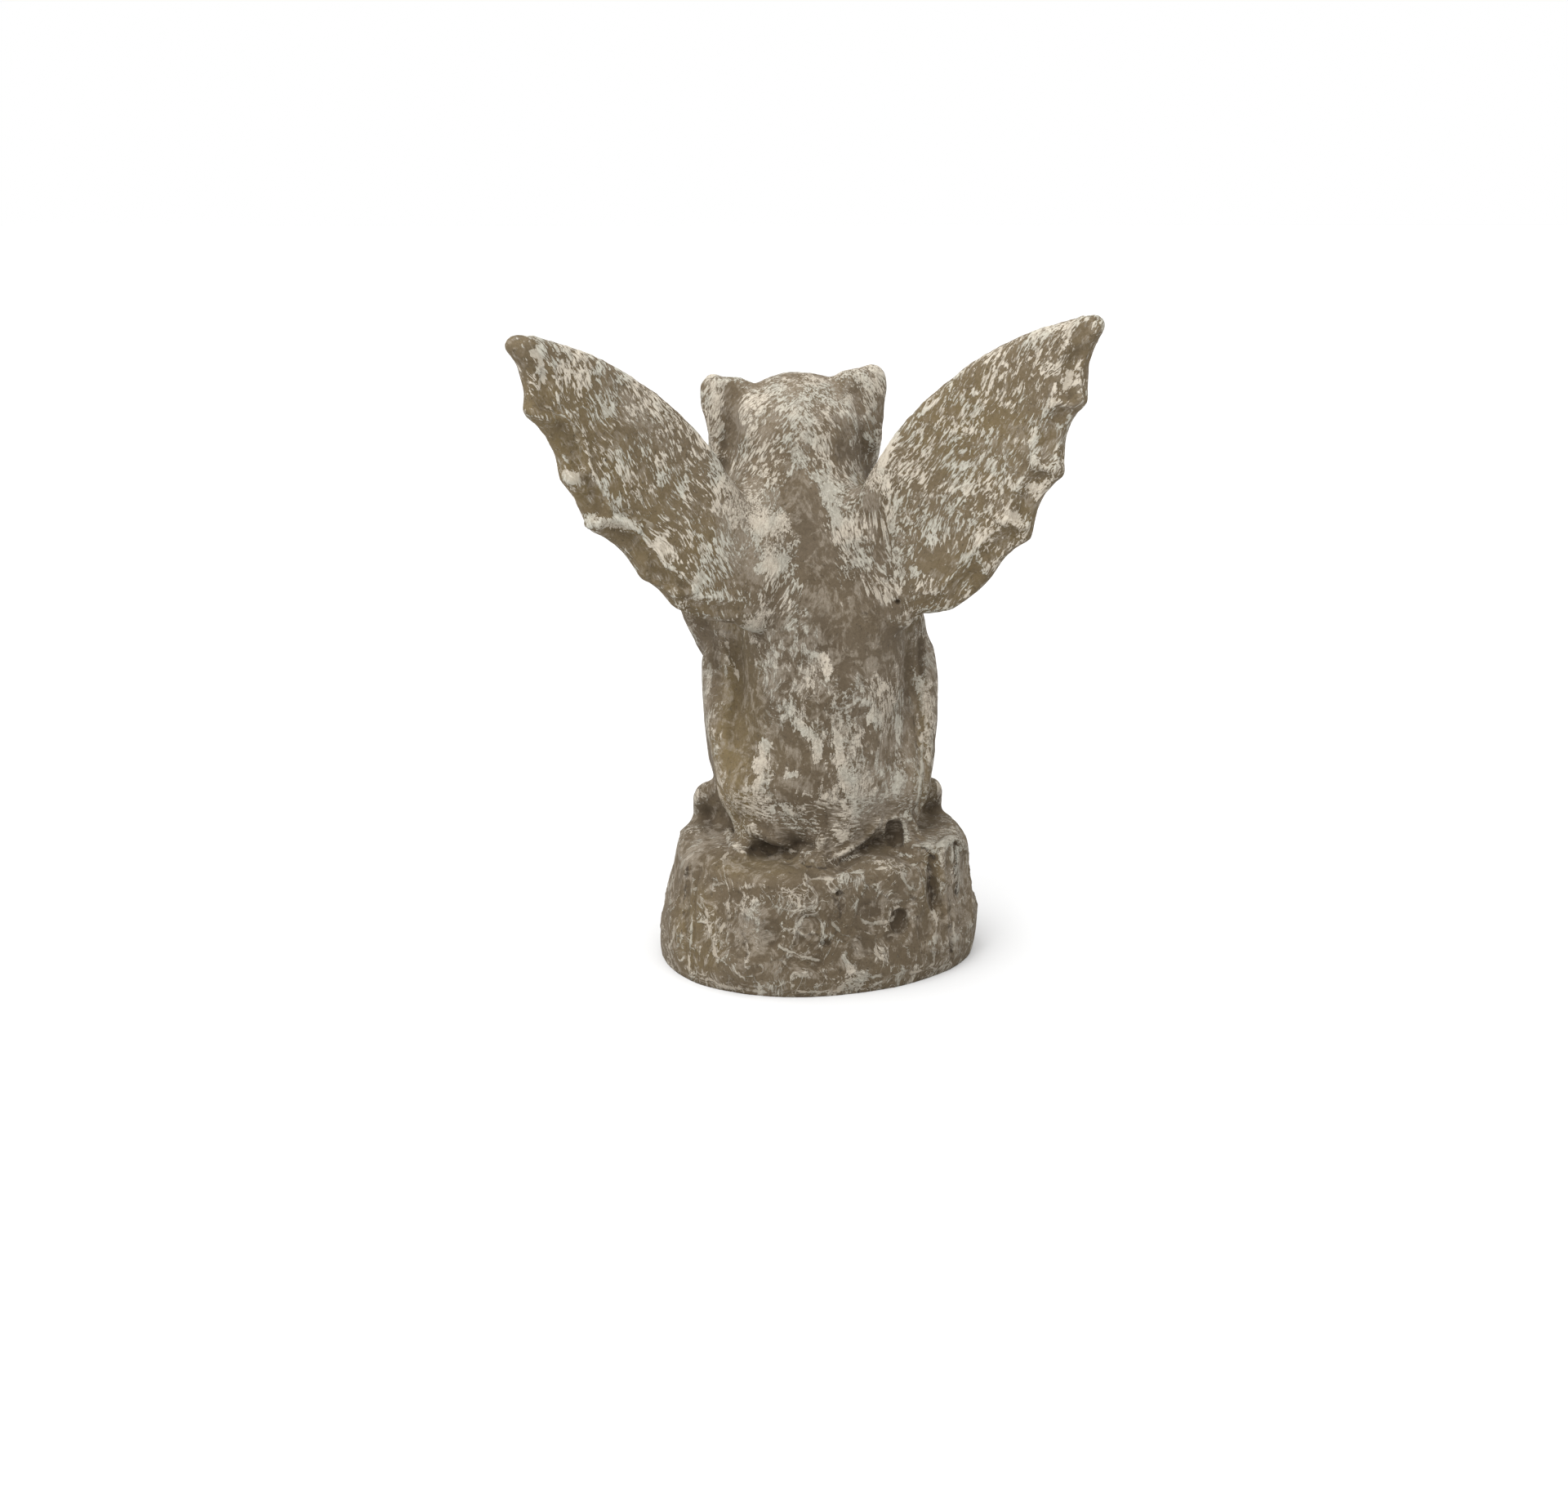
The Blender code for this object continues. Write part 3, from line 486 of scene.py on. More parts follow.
# Recesses with steep walls: column, row, half width, half height, millimetres deep, and how square
PITS = (
    (1010.7, 1154.7, 6.6, 3.6, 2.6, 8), (1103, 1128, 9.5, 13, 3.2, 2.4), (1029, 1095, 4, 3.4, 3, 2),
    (1099, 737.5, 2.8, 2.8, 2.4, 2), (1095, 1022, 9, 15, 3, 4), (1171, 1046, 2.6, 15, 2.6, 2.5),
    (1121, 1101, 2.6, 2.2, 1.8, 2), (900, 1098, 9, 8, 1, 2.2), (942, 1143, 15, 16, 1.6, 2.4),
    (989, 1131, 17, 12, 1.6, 2.4), (1068, 1114, 16, 11, 1.3, 2.2), (906, 1163, 13, 11, 1, 2.2),
    (1058, 1160, 18, 12, 1, 2.2), (1134, 1132, 10, 20, 1.2, 2.4), (985, 1180, 26, 11, 1, 2.4),
    (868, 1088, 10, 16, 0.8, 2.2), (1022, 1132, 9, 12, 0.9, 2.2),
)
GROOVE_REACH = 2.5

# The cells, in pixels, in which the camera sees only what is nearest, and how many fit in a column.
# Then how far behind it another place may lie in metres, in the same cell and in the next one
SIGHT_CELL, CELLS_DOWN = 7, 1000
SIGHT_SLACK, NEXT_SLACK = (0.010, 0.016), 0.004


def in_sight(points, normals):
    """How clearly the camera sees each point: 0 where something hides it or it faces away."""
    depth = (points - EYE) @ FORWARD
    across, down = (seen_at(points) // SIGHT_CELL).astype(int).T
    cell = (across - across.min()) * CELLS_DOWN + (down - down.min())
    first = np.full(cell.max() + 1, np.inf)
    np.minimum.at(first, cell, depth)
    nearest = first[cell]
    for step in (1, -1, CELLS_DOWN, -CELLS_DOWN):
        nearest = np.minimum(nearest, first[np.clip(cell + step, 0, len(first) - 1)] + NEXT_SLACK)
    away = EYE - points
    facing = np.sum(normals * away, 1) / np.linalg.norm(away, axis=1)
    return fading(depth - nearest, *SIGHT_SLACK) * smooth_step(facing, 0.02, 0.2)


def pressed(points, line, width, depth):
    """A groove's depth at each point: deepest on the line, and gone beyond its reach."""
    reach = GROOVE_REACH * width
    near = np.all((points > line.min(0) - reach) & (points < line.max(0) + reach), 1)
    sunk = np.zeros(len(points))
    sunk[near] = bulge(line_gap(points[near], line), depth, 0, width)
    return sunk


def pressed_marks(points, normals, marks):
    """The depth of every mark that is placed by the photograph."""
    seen = seen_at(points)
    sunk = np.zeros(len(points))
    for width, depth, *line in marks:
        sunk += pressed(seen, paired(line), width, depth / 1000)
    return sunk * in_sight(points, normals) * smooth_step(points[:, 2], 0.001, 0.008)


def pressed_grooves(points, grooves, head):
    """The depth of the grooves of the figure's own frame, each on both sides or along its middle."""
    sunk = np.zeros(len(points))
    for width, depth, *line in grooves:
        for side in (1, -1) if any(row[0] for row in line) else (1,):
            sunk += pressed(points, figure_place(line, side, head), width * UNIT, depth * UNIT)
    return sunk


def pits(points):
    """The depth of the steep-walled recesses."""
    seen = seen_at(points)
    deepest = np.zeros(len(points))
    for column, row, wide, tall, depth, square in PITS:
        away = np.abs(seen - (column, row)) / (wide, tall)
        gap = np.sum(away ** square, 1) ** (1 / square)
        deepest = np.maximum(deepest, depth / 1000 * fading(gap, 0.70, 1.30))
    return deepest


def add_rolls(mesh):
    """Lays the rolls on the skin, found along the camera's sight lines."""
    skin_tree = ray_tree(mesh)
    body = bmesh.new()
    for radius, shown, *line in ROLLS:
        radius /= 1000
        for column, row in curved(paired(line), 5):
            sight = (
                FORWARD
                + RIGHT * (column - IMAGE_WIDTH / 2) / FOCAL
                - UP * (row - IMAGE_HEIGHT / 2) / FOCAL
            )
            sight /= np.linalg.norm(sight)
            found = skin_tree.ray_cast(Vector(EYE), Vector(sight))[0]
            if found is None:
                continue
            centre = found + Vector(sight) * radius * (1 - 2 * shown)
            ball = bmesh.ops.create_icosphere(body, subdivisions=2, radius=radius)["verts"]
            bmesh.ops.translate(body, vec=centre, verts=ball)
    poured_in(mesh, body)


# The bevel inside the scallops: height of each form, its distance from the rim, and half its width
RIDGE = (0.0009, 0.0148, 0.0020)
HOLLOW = (0.0018, 0.0082, 0.0038)
LIP = (0.0006, 0.0016, 0.0012)
RIDGE_WANDER = 0.0022
SPUR_HEIGHT, SPUR_WIDTH = 0.0021, 0.0036
VEIN_HEIGHT, VEINS_ROUND = 0.00035, 46
# The heights of the rock's and the skin's unevenness
CHIP_DEPTH, CHIP_STEP, SMALL_CHIP_DEPTH, ROCK_LUMPS = 0.0034, 0.0012, 0.0012, 0.0012
SKIN_LUMPS, SKIN_GRAIN, PRESS_DEPTH = 0.0014, 0.0005, 0.0009


def wing_relief(points):
    """Height that the wings gain: the bevel and its spurs behind, and fine veins in front."""
    side, out, up, depth = wing_place(points)
    flat = np.stack([out, up], 1)
    on_wing = smooth_step(out, 0.16 * WING_SPAN, 0.3 * WING_SPAN) * (np.abs(depth) < WING_THICKNESS)
    wrist = np.array(WING_WRIST) * (WING_SPAN, WING_HEIGHT)
    rise = np.zeros(len(points))
    for sign, rim in RIMS:
        here = (side == sign) & (on_wing > 0)
        gap = line_gap(flat[here], scalloped(rim))
        bones = np.zeros(len(gap))
        for tip in np.array(rim[0:-1:2]) * (WING_SPAN, WING_HEIGHT):
            reach = line_gap(flat[here], np.array([wrist, tip]))
            bones = np.maximum(bones, bulge(reach, 1, 0, SPUR_WIDTH))
        wander = RIDGE_WANDER * (value_noise(points[here], 70, 11) - 0.5)
        spur = SPUR_HEIGHT * bones * fading(gap, 0.0130, 0.0165) * smooth_step(gap, 0.0, 0.004)
        back = bulge(gap, *RIDGE, wander) - bulge(gap, *HOLLOW) + bulge(gap, *LIP) + spur
        away = flat[here] - wrist
        angle = np.arctan2(away[:, 1], away[:, 0])
        veins = np.sin(angle * VEINS_ROUND + 5 * value_noise(points[here], 40, 12))
        front = VEIN_HEIGHT * veins * (1 - bones) * smooth_step(gap, 0.002, 0.012)
        shape = np.where(depth[here] > 0.0015, back, np.where(depth[here] < -0.001, front, 0))
        rise[here] = on_wing[here] * shape
    return rise


def rock_cells(points):
    """The rock's chips: how far each point is from the middle of its chip, from its edge, and its luck."""
    bent = points + 0.006 * np.stack([value_noise(points, 90, 20 + k) - 0.5 for k in range(3)], 1)
    return cells(bent * (1, 1, 0.75), 46, 31)


def rock_relief(points):
    """Height that the rock gains or loses: hollow chips with sharp edges, and broken steps."""
    height = points[:, 2]
    on_rock = fading(height, SEAT + 0.004, SEAT + 0.010)
    on_rock *= 0.15 + 0.85 * smooth_step(height, 0.007, 0.020)
    on_rock *= smooth_step(height, 0.0004, 0.004)
    middle, _, luck = rock_cells(points)
    chips = (0.3 + luck) * (middle ** 2 - 0.45) * CHIP_DEPTH + CHIP_STEP * (luck - 0.5)
    middle, _, luck = cells(points, 110, 34)
    chips += smooth_step(luck, 0.4, 0.9) * (middle ** 2 - 0.4) * SMALL_CHIP_DEPTH
    lumps = layered_noise(points, 60, 3, 37)
    return on_rock * (chips + ROCK_LUMPS * (lumps - 0.6))


def body_relief(points):
    """The hand-worked unevenness of the figure's skin, with finer marks that are deepest on its head."""
    figure = smooth_step(points[:, 2], SEAT - 0.002, SEAT + 0.006)
    head = smooth_step((points[:, 2] - SEAT) / UNIT, 72, 80)
    lumps = layered_noise(points, 55, 3, 51) - 0.5
    fine = layered_noise(points * (1, 1, 0.45), 260, 2, 57) - 0.5
    middle, _, luck = cells(points * (1, 1, 0.7), 75, 53)
    presses = (0.2 + luck) * (middle ** 2 - 0.4) * PRESS_DEPTH
    return figure * (SKIN_LUMPS * lumps + (SKIN_GRAIN + SKIN_GRAIN * head) * fine + presses)


# The finer skin


def remeshed(mesh, voxel, smoothing, *first):
    """The mesh cut into even, smooth cells, with any modifiers that come first."""
    cut = ("REMESH", {"mode": "VOXEL", "voxel_size": voxel})
    return changed(mesh, *first, cut, ("SMOOTH", {"factor": 0.5, "iterations": smoothing}))


def edge_of_foot(edge):
    """Whether an edge of the solid lies where its side meets the ground."""
    on_ground = all(vert.co.z < 1e-5 for vert in edge.verts)
    return on_ground and any(face.normal.z > -0.9 for face in edge.link_faces)


def grown_skin():
    """The solid's own form as a fine, smooth, closed mesh, carved and roughened."""
    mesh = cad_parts["gargoyle"].data.copy()
    body = bmesh.new()
    body.from_mesh(mesh)
    bmesh.ops.remove_doubles(body, verts=body.verts, dist=1e-6)
    body.normal_update()
    crisp = body.edges.layers.float.new("crease_edge")
    for edge in body.edges:
        if edge_of_foot(edge):
            edge[crisp] = 1.0
    body.to_mesh(mesh)
    body.free()
    mesh.materials.clear()
    mesh = remeshed(mesh, ROUGH_VOXEL, 6, ("SUBSURF", {"levels": 1, "render_levels": 1}))
    points, normals = points_and_normals(mesh)
    sunk = pressed_marks(points, normals, BROAD_MARKS)
    sunk += pressed_grooves(points, FACE_GROOVES[:1], head=True)
    move_points(mesh, points - normals * sunk[:, None])
    add_rolls(mesh)
    add_face(mesh)
    add_claws(mesh)
    mesh = remeshed(mesh, SKIN_VOXEL, 3)
    points, normals = points_and_normals(mesh)
    rise = wing_relief(points) + rock_relief(points) + body_relief(points)
    rise -= pressed_grooves(points, FACE_GROOVES[1:], head=True)
    rise -= pressed_grooves(points, BODY_GROOVES, head=False)
    rise -= pressed_marks(points, normals, FINE_MARKS)
    rise -= pits(points) * in_sight(points, normals)
    move_points(mesh, points + normals * rise[:, None])
    return mesh


def coarsened(mesh, most):
    """The mesh with so many triangles at most."""
    mesh.calc_loop_triangles()
    return changed(mesh, ("DECIMATE", {"ratio": min(1.0, most / len(mesh.loop_triangles))}))


def even_foot(points):
    """Evens the rock's lower rim, so that it meets the ground in one clean curve."""
    low = np.flatnonzero(points[:, 2] < FOOT_HEIGHT)
    turn = np.arctan2(points[low, 1], points[low, 0]) / math.tau * FOOT_SECTORS
    sector = np.floor(turn).astype(int) % FOOT_SECTORS
    reach = np.hypot(points[low, 0], points[low, 1])
    rim = points[low, 2] < 0.4 * FOOT_HEIGHT
    widest = np.zeros(FOOT_SECTORS)
    np.maximum.at(widest, sector[rim], reach[rim])
    even = widest
    for _ in range(FOOT_ROUNDS):
        even = (np.roll(even, 1) + 2 * even + np.roll(even, -1)) / 4
    share = np.interp(turn - 0.5, np.arange(FOOT_SECTORS), even / widest, period=FOOT_SECTORS)
    fade = fading(points[low, 2], 0.3 * FOOT_HEIGHT, FOOT_HEIGHT)
    points[low, :2] *= (1 + (share - 1) * fade)[:, None]
    return points


def within_box(points):
    """Keeps the skin inside the solid's box, and its underside flat."""
    low, high = (np.array(corner) for corner in CAD_BOX)
    points[:, 2] -= FOOT_DROP * fading(points[:, 2], 0, FOOT_HEIGHT)
    points = np.clip(even_foot(points), low, high)
    points[points[:, 2] < FOOT_FLAT, 2] = 0
    return points


# Materials

# The ways that the paint was brushed: a direction, then the scales across the strokes and along
# them, for the strokes themselves and for the marks of single bristles
STROKES = (
    ((-0.47, -0.22, -0.88), (540, 165), (980, 190)),
    ((0.47, -0.22, -0.88), (540, 165), (980, 190)),
    ((0.06, 0, -1), (260, 110), (760, 110)),
    ((1, 0, 0.05), (600, 100), (820, 110)),
    ((-0.38, -0.20, -0.90), (430, 32), (860, 60)),
)
# The same two pairs of scales for where it wasn't brushed, and the marks curl
CURLS = ((190, 110), (760, 150))

# The heights of the paint's noise from which a coat starts to show, and at which it is whole
THIN_COAT = (0.506, 0.520)
THICK_COAT = (0.53, 0.60)
FLAG_COAT = (0.44, 0.52)
# The share of the cells that have no bug hole, and the largest hole's radius in cells
NO_HOLE, HOLE_RADIUS = 0.72, 0.045
# How far a thin line is felt across, and its half width, in pixels
LINE_REACH, LINE_WIDTH = 16.0, 2.0


def colour(*shown):
    """A colour as it looks on a screen, from 0 to 255, made linear."""
    shares = (c / 255 for c in shown)
    return (*(s / 12.92 if s <= 0.04045 else ((s + 0.055) / 1.055) ** 2.4 for s in shares), 1.0)


BROWN_CEMENT = colour(93, 81, 64)
GREY_CEMENT = colour(98, 87, 72)
DAMP_CEMENT = colour(99, 85, 56)
DARK_MOTTLE = colour(77, 66, 49)
PALE_SPECKLE = colour(117, 104, 85)
# the colour of dirt and of painted shade in creases, hollows, grooves and on the rock
DIRT_AND_SHADE_BROWN = colour(56, 46, 33)
PORE_BROWN = colour(50, 42, 31)
# the colour of cracks and of painted shadow lines along grooves and edges
CRACK_AND_SHADOW_BROWN = colour(44, 36, 26)
# the painted shade inside the bug holes
HOLE_SHADE_BROWN = colour(52, 43, 33)
WARM_PAINT = colour(184, 175, 160)
COOL_PAINT = colour(170, 167, 155)
THINNED_PAINT = colour(142, 133, 120)


class Nodes:
    """Makes and links the nodes of one material or world."""

    def __init__(self, owner):
        owner.use_nodes = True
        self.tree = owner.node_tree

    def find_places(self):
        """The place on the piece, and two copies that are bent for strokes that sway or curl."""
        self.place = self.add("ShaderNodeTexCoord").outputs["Object"]
        self.swayed = self.bent(24, 0.014)
        self.curled = self.bent(30, 0.060)

    def fill(self, node, inputs):
        for key, value in dict(inputs).items():
            if isinstance(value, bpy.types.NodeSocket):
                self.tree.links.new(value, node.inputs[key])
            else:
                node.inputs[key].default_value = value
        return node

    def add(self, kind, inputs=(), **settings):
        node = self.tree.nodes.new(kind)
        for name, value in settings.items():
            setattr(node, name, value)
        return self.fill(node, inputs)

    def maths(self, operation, *values, clamp=False):
        return self.add("ShaderNodeMath", enumerate(values), operation=operation, use_clamp=clamp).outputs[0]

    def vector(self, operation, *values):
        """A node, because only some operations give a vector."""
        return self.add("ShaderNodeVectorMath", enumerate(values), operation=operation)

    def gathered(self, operation, total, *values):
        for value in values:
            total = self.maths(operation, total, value)
        return total

    def plus(self, *values):
        return self.gathered("ADD", *values)

    def times(self, *values):
        return self.gathered("MULTIPLY", *values)

    def most(self, *values):
        return self.gathered("MAXIMUM", *values)

    def left_of(self, value):
        """What a share leaves of the whole."""
        return self.maths("SUBTRACT", 1.0, value)

    def centred(self, value):
        """Noise that was from 0 to 1, from -0.5 to 0.5."""
        return self.maths("SUBTRACT", value, 0.5)

    def sloped(self, value, start, slope):
        """Start where the value is 0, and slope more where it is 1."""
        return self.plus(start, self.times(value, slope))

    def stepped(self, value, low, high):
        """A smooth step from 0 at low to 1 at high."""
        inputs = {"Value": value, "From Min": low, "From Max": high}
        return self.add("ShaderNodeMapRange", inputs, interpolation_type="SMOOTHSTEP").outputs["Result"]

    def noise(self, scale, detail=3.0, roughness=0.55, distortion=0.0, vector=None):
        return self.add("ShaderNodeTexNoise", {
            "Scale": scale, "Detail": detail, "Roughness": roughness, "Distortion": distortion,
            "Vector": self.place if vector is None else vector,
        }).outputs["Fac"]

    def vein(self, scale, width, distortion=0.8):
        """Thin lines that meander where a noise crosses its middle."""
        away = self.centred(self.noise(scale, 3.0, 0.5, distortion))
        return self.left_of(self.stepped(self.maths("ABSOLUTE", away), 0.4 * width, width))

    def bent(self, often, reach):
        """The place, pushed about by a broad noise, so that strokes on it curl."""
        push = self.add("ShaderNodeTexNoise", {"Vector": self.place, "Scale": often, "Detail": 1.0})
        centred = self.vector("SUBTRACT", push.outputs["Color"], (0.5, 0.5, 0.5)).outputs[0]
        return self.vector("MULTIPLY_ADD", centred, (reach, reach, reach), self.place).outputs[0]

    def along(self, direction, across_scale, along_scale, place):
        """Coordinates that are stretched along a direction, for brush strokes."""
        direction = Vector(direction).normalized()
        side = direction.cross(Vector((0, 1, 0))).normalized()
        axes = (side * across_scale, direction.cross(side) * across_scale, direction * along_scale)
        parts = (self.vector("DOT_PRODUCT", place, axis).outputs["Value"] for axis in axes)
        return self.add("ShaderNodeCombineXYZ", zip("XYZ", parts)).outputs[0]

    def brushed(self, brush, size, detail, roughness):
        """Noise that is drawn out along the ways that the surface was brushed, or curls elsewhere."""
        left = self.maths("SUBTRACT", 1.0, self.plus(*brush), clamp=True)
        curl = self.along((0.2, 0.3, -1), *CURLS[size], self.curled)
        total = self.times(left, self.noise(1.0, detail + 1, roughness + 0.08, 0.9, curl))
        for weight, (direction, *scales) in zip(brush, STROKES):
            drawn_out = self.along(direction, *scales[size], self.swayed)
            stroke = self.noise(1.0, detail, roughness, 0.7, drawn_out)
            total = self.plus(total, self.times(weight, stroke))
        return total

    def mixed(self, share, first, second):
        return self.add("ShaderNodeMix", {0: share, 6: first, 7: second}, data_type="RGBA").outputs[2]

    def channels(self, name):
        """The red, green, blue and alpha of a painted attribute."""
        node = self.add("ShaderNodeAttribute", attribute_name=name)
        parts = self.add("ShaderNodeSeparateColor", {"Color": node.outputs["Color"]})
        return (*parts.outputs, node.outputs["Alpha"])


def bug_holes(m):
    """The pits that air bubbles leave: a few of a pattern's cells have one, each of its own size."""
    cell = m.add("ShaderNodeTexVoronoi", {"Scale": 62.0, "Vector": m.place})
    chosen = m.add("ShaderNodeSeparateColor", {"Color": cell.outputs["Color"]}).outputs[0]
    reach = m.times(m.stepped(chosen, NO_HOLE, 1.0), HOLE_RADIUS)
    hole = m.left_of(m.stepped(m.maths("SUBTRACT", cell.outputs["Distance"], reach), 0.0, 0.02))
    return m.times(hole, m.maths("GREATER_THAN", chosen, NO_HOLE))


def line_drawn(m, gap):
    """The thin lines, from how far to their side each place lies: they waver and break up."""
    wobble = m.centred(m.noise(95, 5.0, 0.68))
    away = m.maths("ABSOLUTE", m.plus(m.centred(gap), wobble))
    width = m.times(m.stepped(m.noise(130, 3.0), 0.40, 0.60), LINE_WIDTH / LINE_REACH)
    drawn = m.left_of(m.stepped(m.maths("SUBTRACT", away, width), 0.0, 0.04))
    return m.times(drawn, m.stepped(m.noise(75, 2.0), 0.38, 0.50))


def stone_material():
    material = bpy.data.materials.new("painted_cement")
    m = Nodes(material)
    m.find_places()
    cover, olive, dark, haze = m.channels("paint")
    lines, long_strokes, rubbed, solid = m.channels("wear")
    gap, pale_line, dark_line, _ = m.channels("drawn")
    brush = (*m.channels("brush"), long_strokes)
    leaning = m.plus(brush[0], brush[1], long_strokes)
    covered = m.centred(cover)

    # How the brush left the paint: in strokes and bristle marks where the cover is high enough
    grain = m.brushed(brush, 0, detail=3.0, roughness=0.54)
    streak = m.brushed(brush, 1, detail=2.0, roughness=0.55)
    bristles = m.stepped(streak, 0.40, 0.56)
    patches = m.noise(75, detail=4, roughness=0.6)
    height = m.plus(
        grain,
        m.times(m.centred(patches), m.sloped(leaning, 0.25, 0.45)),
        m.times(m.centred(streak), 0.50),
        m.times(covered, 0.42),
    )
    cracks = m.times(m.most(m.vein(125, 0.013), m.vein(300, 0.024)), m.sloped(leaning, 0.85, -0.6))
    thick = m.stepped(height, *THICK_COAT)
    strokes = m.times(m.stepped(height, *THIN_COAT), m.sloped(bristles, 0.48, 0.52), m.left_of(cracks))
    flecks = m.times(m.stepped(m.plus(streak, m.times(covered, 0.45)), 0.63, 0.68), 0.75)

    # Thin lines that meander, lines that were drawn, and flags where the paint lies whole
    broken = m.stepped(m.plus(patches, m.times(covered, 0.5)), 0.40, 0.50)
    meander = m.times(m.most(m.vein(40, 0.011, 1.3), m.vein(92, 0.014, 1.0)), lines, broken)
    drawn = line_drawn(m, gap)
    ragged = m.times(m.centred(m.noise(150, detail=6, roughness=0.72, distortion=0.6)), 1.9)
    ragged = m.plus(ragged, m.times(m.centred(streak), 1.2))
    flag = m.stepped(m.plus(m.times(solid, 0.84), ragged), *FLAG_COAT)
    flag = m.times(flag, m.sloped(cracks, 1.0, -0.4))
    thin = m.most(strokes, flecks, meander, m.times(drawn, pale_line), m.times(flag, 0.8))

    # The cement's own colour, with layers that each lie over it by a share of a strength; the dark layer
    # paints shade as well as dirt
    cement = m.mixed(m.stepped(m.noise(22, detail=3), 0.38, 0.62), BROWN_CEMENT, GREY_CEMENT)
    mottle = m.stepped(m.noise(95, detail=5, roughness=0.65), 0.3, 0.7)
    speckle = m.stepped(m.noise(700, detail=4, roughness=0.75), 0.38, 0.66)
    pores = m.stepped(m.noise(430, detail=3, roughness=0.7), 0.58, 0.72)
    for share, strength, layer in (
        (olive, 1.0, DAMP_CEMENT),
        (mottle, 0.50, DARK_MOTTLE),
        (speckle, 0.38, PALE_SPECKLE),
        # dirt and painted shade: darker in creases, hollows and grooves, and on the rock
        (dark, 0.85, DIRT_AND_SHADE_BROWN),
        (pores, 0.45, PORE_BROWN),
        # the dark lines: cracks, and painted shadow along grooves and under the rump's edge
        (drawn, dark_line, CRACK_AND_SHADOW_BROWN),
    ):
        cement = m.mixed(m.times(share, strength), cement, layer)

    # A smear of thinned paint, the paint itself where it isn't rubbed off, and the bug holes, filled with
    # painted shade
    smear = m.noise(85, detail=6, roughness=0.62, distortion=1.2)
    smear = m.plus(smear, m.times(haze, 0.25), m.times(m.centred(grain), 0.8))
    smear = m.times(m.stepped(smear, 0.48, 0.66), m.sloped(bristles, 0.20, 0.30))
    washed = m.mixed(smear, cement, THINNED_PAINT)
    laid = m.times(thick, m.sloped(leaning, 0.12, 0.22), m.sloped(bristles, 0.5, 0.5))
    laid = m.times(m.plus(m.times(thin, 0.72), laid), m.sloped(rubbed, 1.0, -0.40))
    laid = m.most(laid, m.times(flag, m.sloped(bristles, 0.50, 0.20)))
    pale = m.mixed(m.stepped(m.noise(40, detail=2), 0.4, 0.6), WARM_PAINT, COOL_PAINT)
    hole = bug_holes(m)
    # the bug holes are darkened with painted shade
    final = m.mixed(m.times(hole, 0.75), m.mixed(laid, washed, pale), HOLE_SHADE_BROWN)

    rise = m.plus(
        m.times(thin, 0.5),
        m.times(thick, 0.3),
        m.times(grain, 0.8),
        m.times(m.noise(1400, detail=2), 0.35),
        m.times(m.noise(260, detail=4), 0.9),
        m.times(pores, -0.5),
        m.times(drawn, pale_line, 0.8),
        m.times(drawn, dark_line, -1.2),
        m.times(hole, -2.2),
    )
    bump = m.add("ShaderNodeBump", {"Strength": 0.8, "Distance": 0.0006, "Height": rise})
    m.fill(m.tree.nodes["Principled BSDF"], {
        "Base Color": final,
        "Roughness": m.sloped(m.left_of(thin), 0.80, 0.12),
        "Specular IOR Level": 0.3,
        "Normal": bump.outputs[0],
    })
    return material
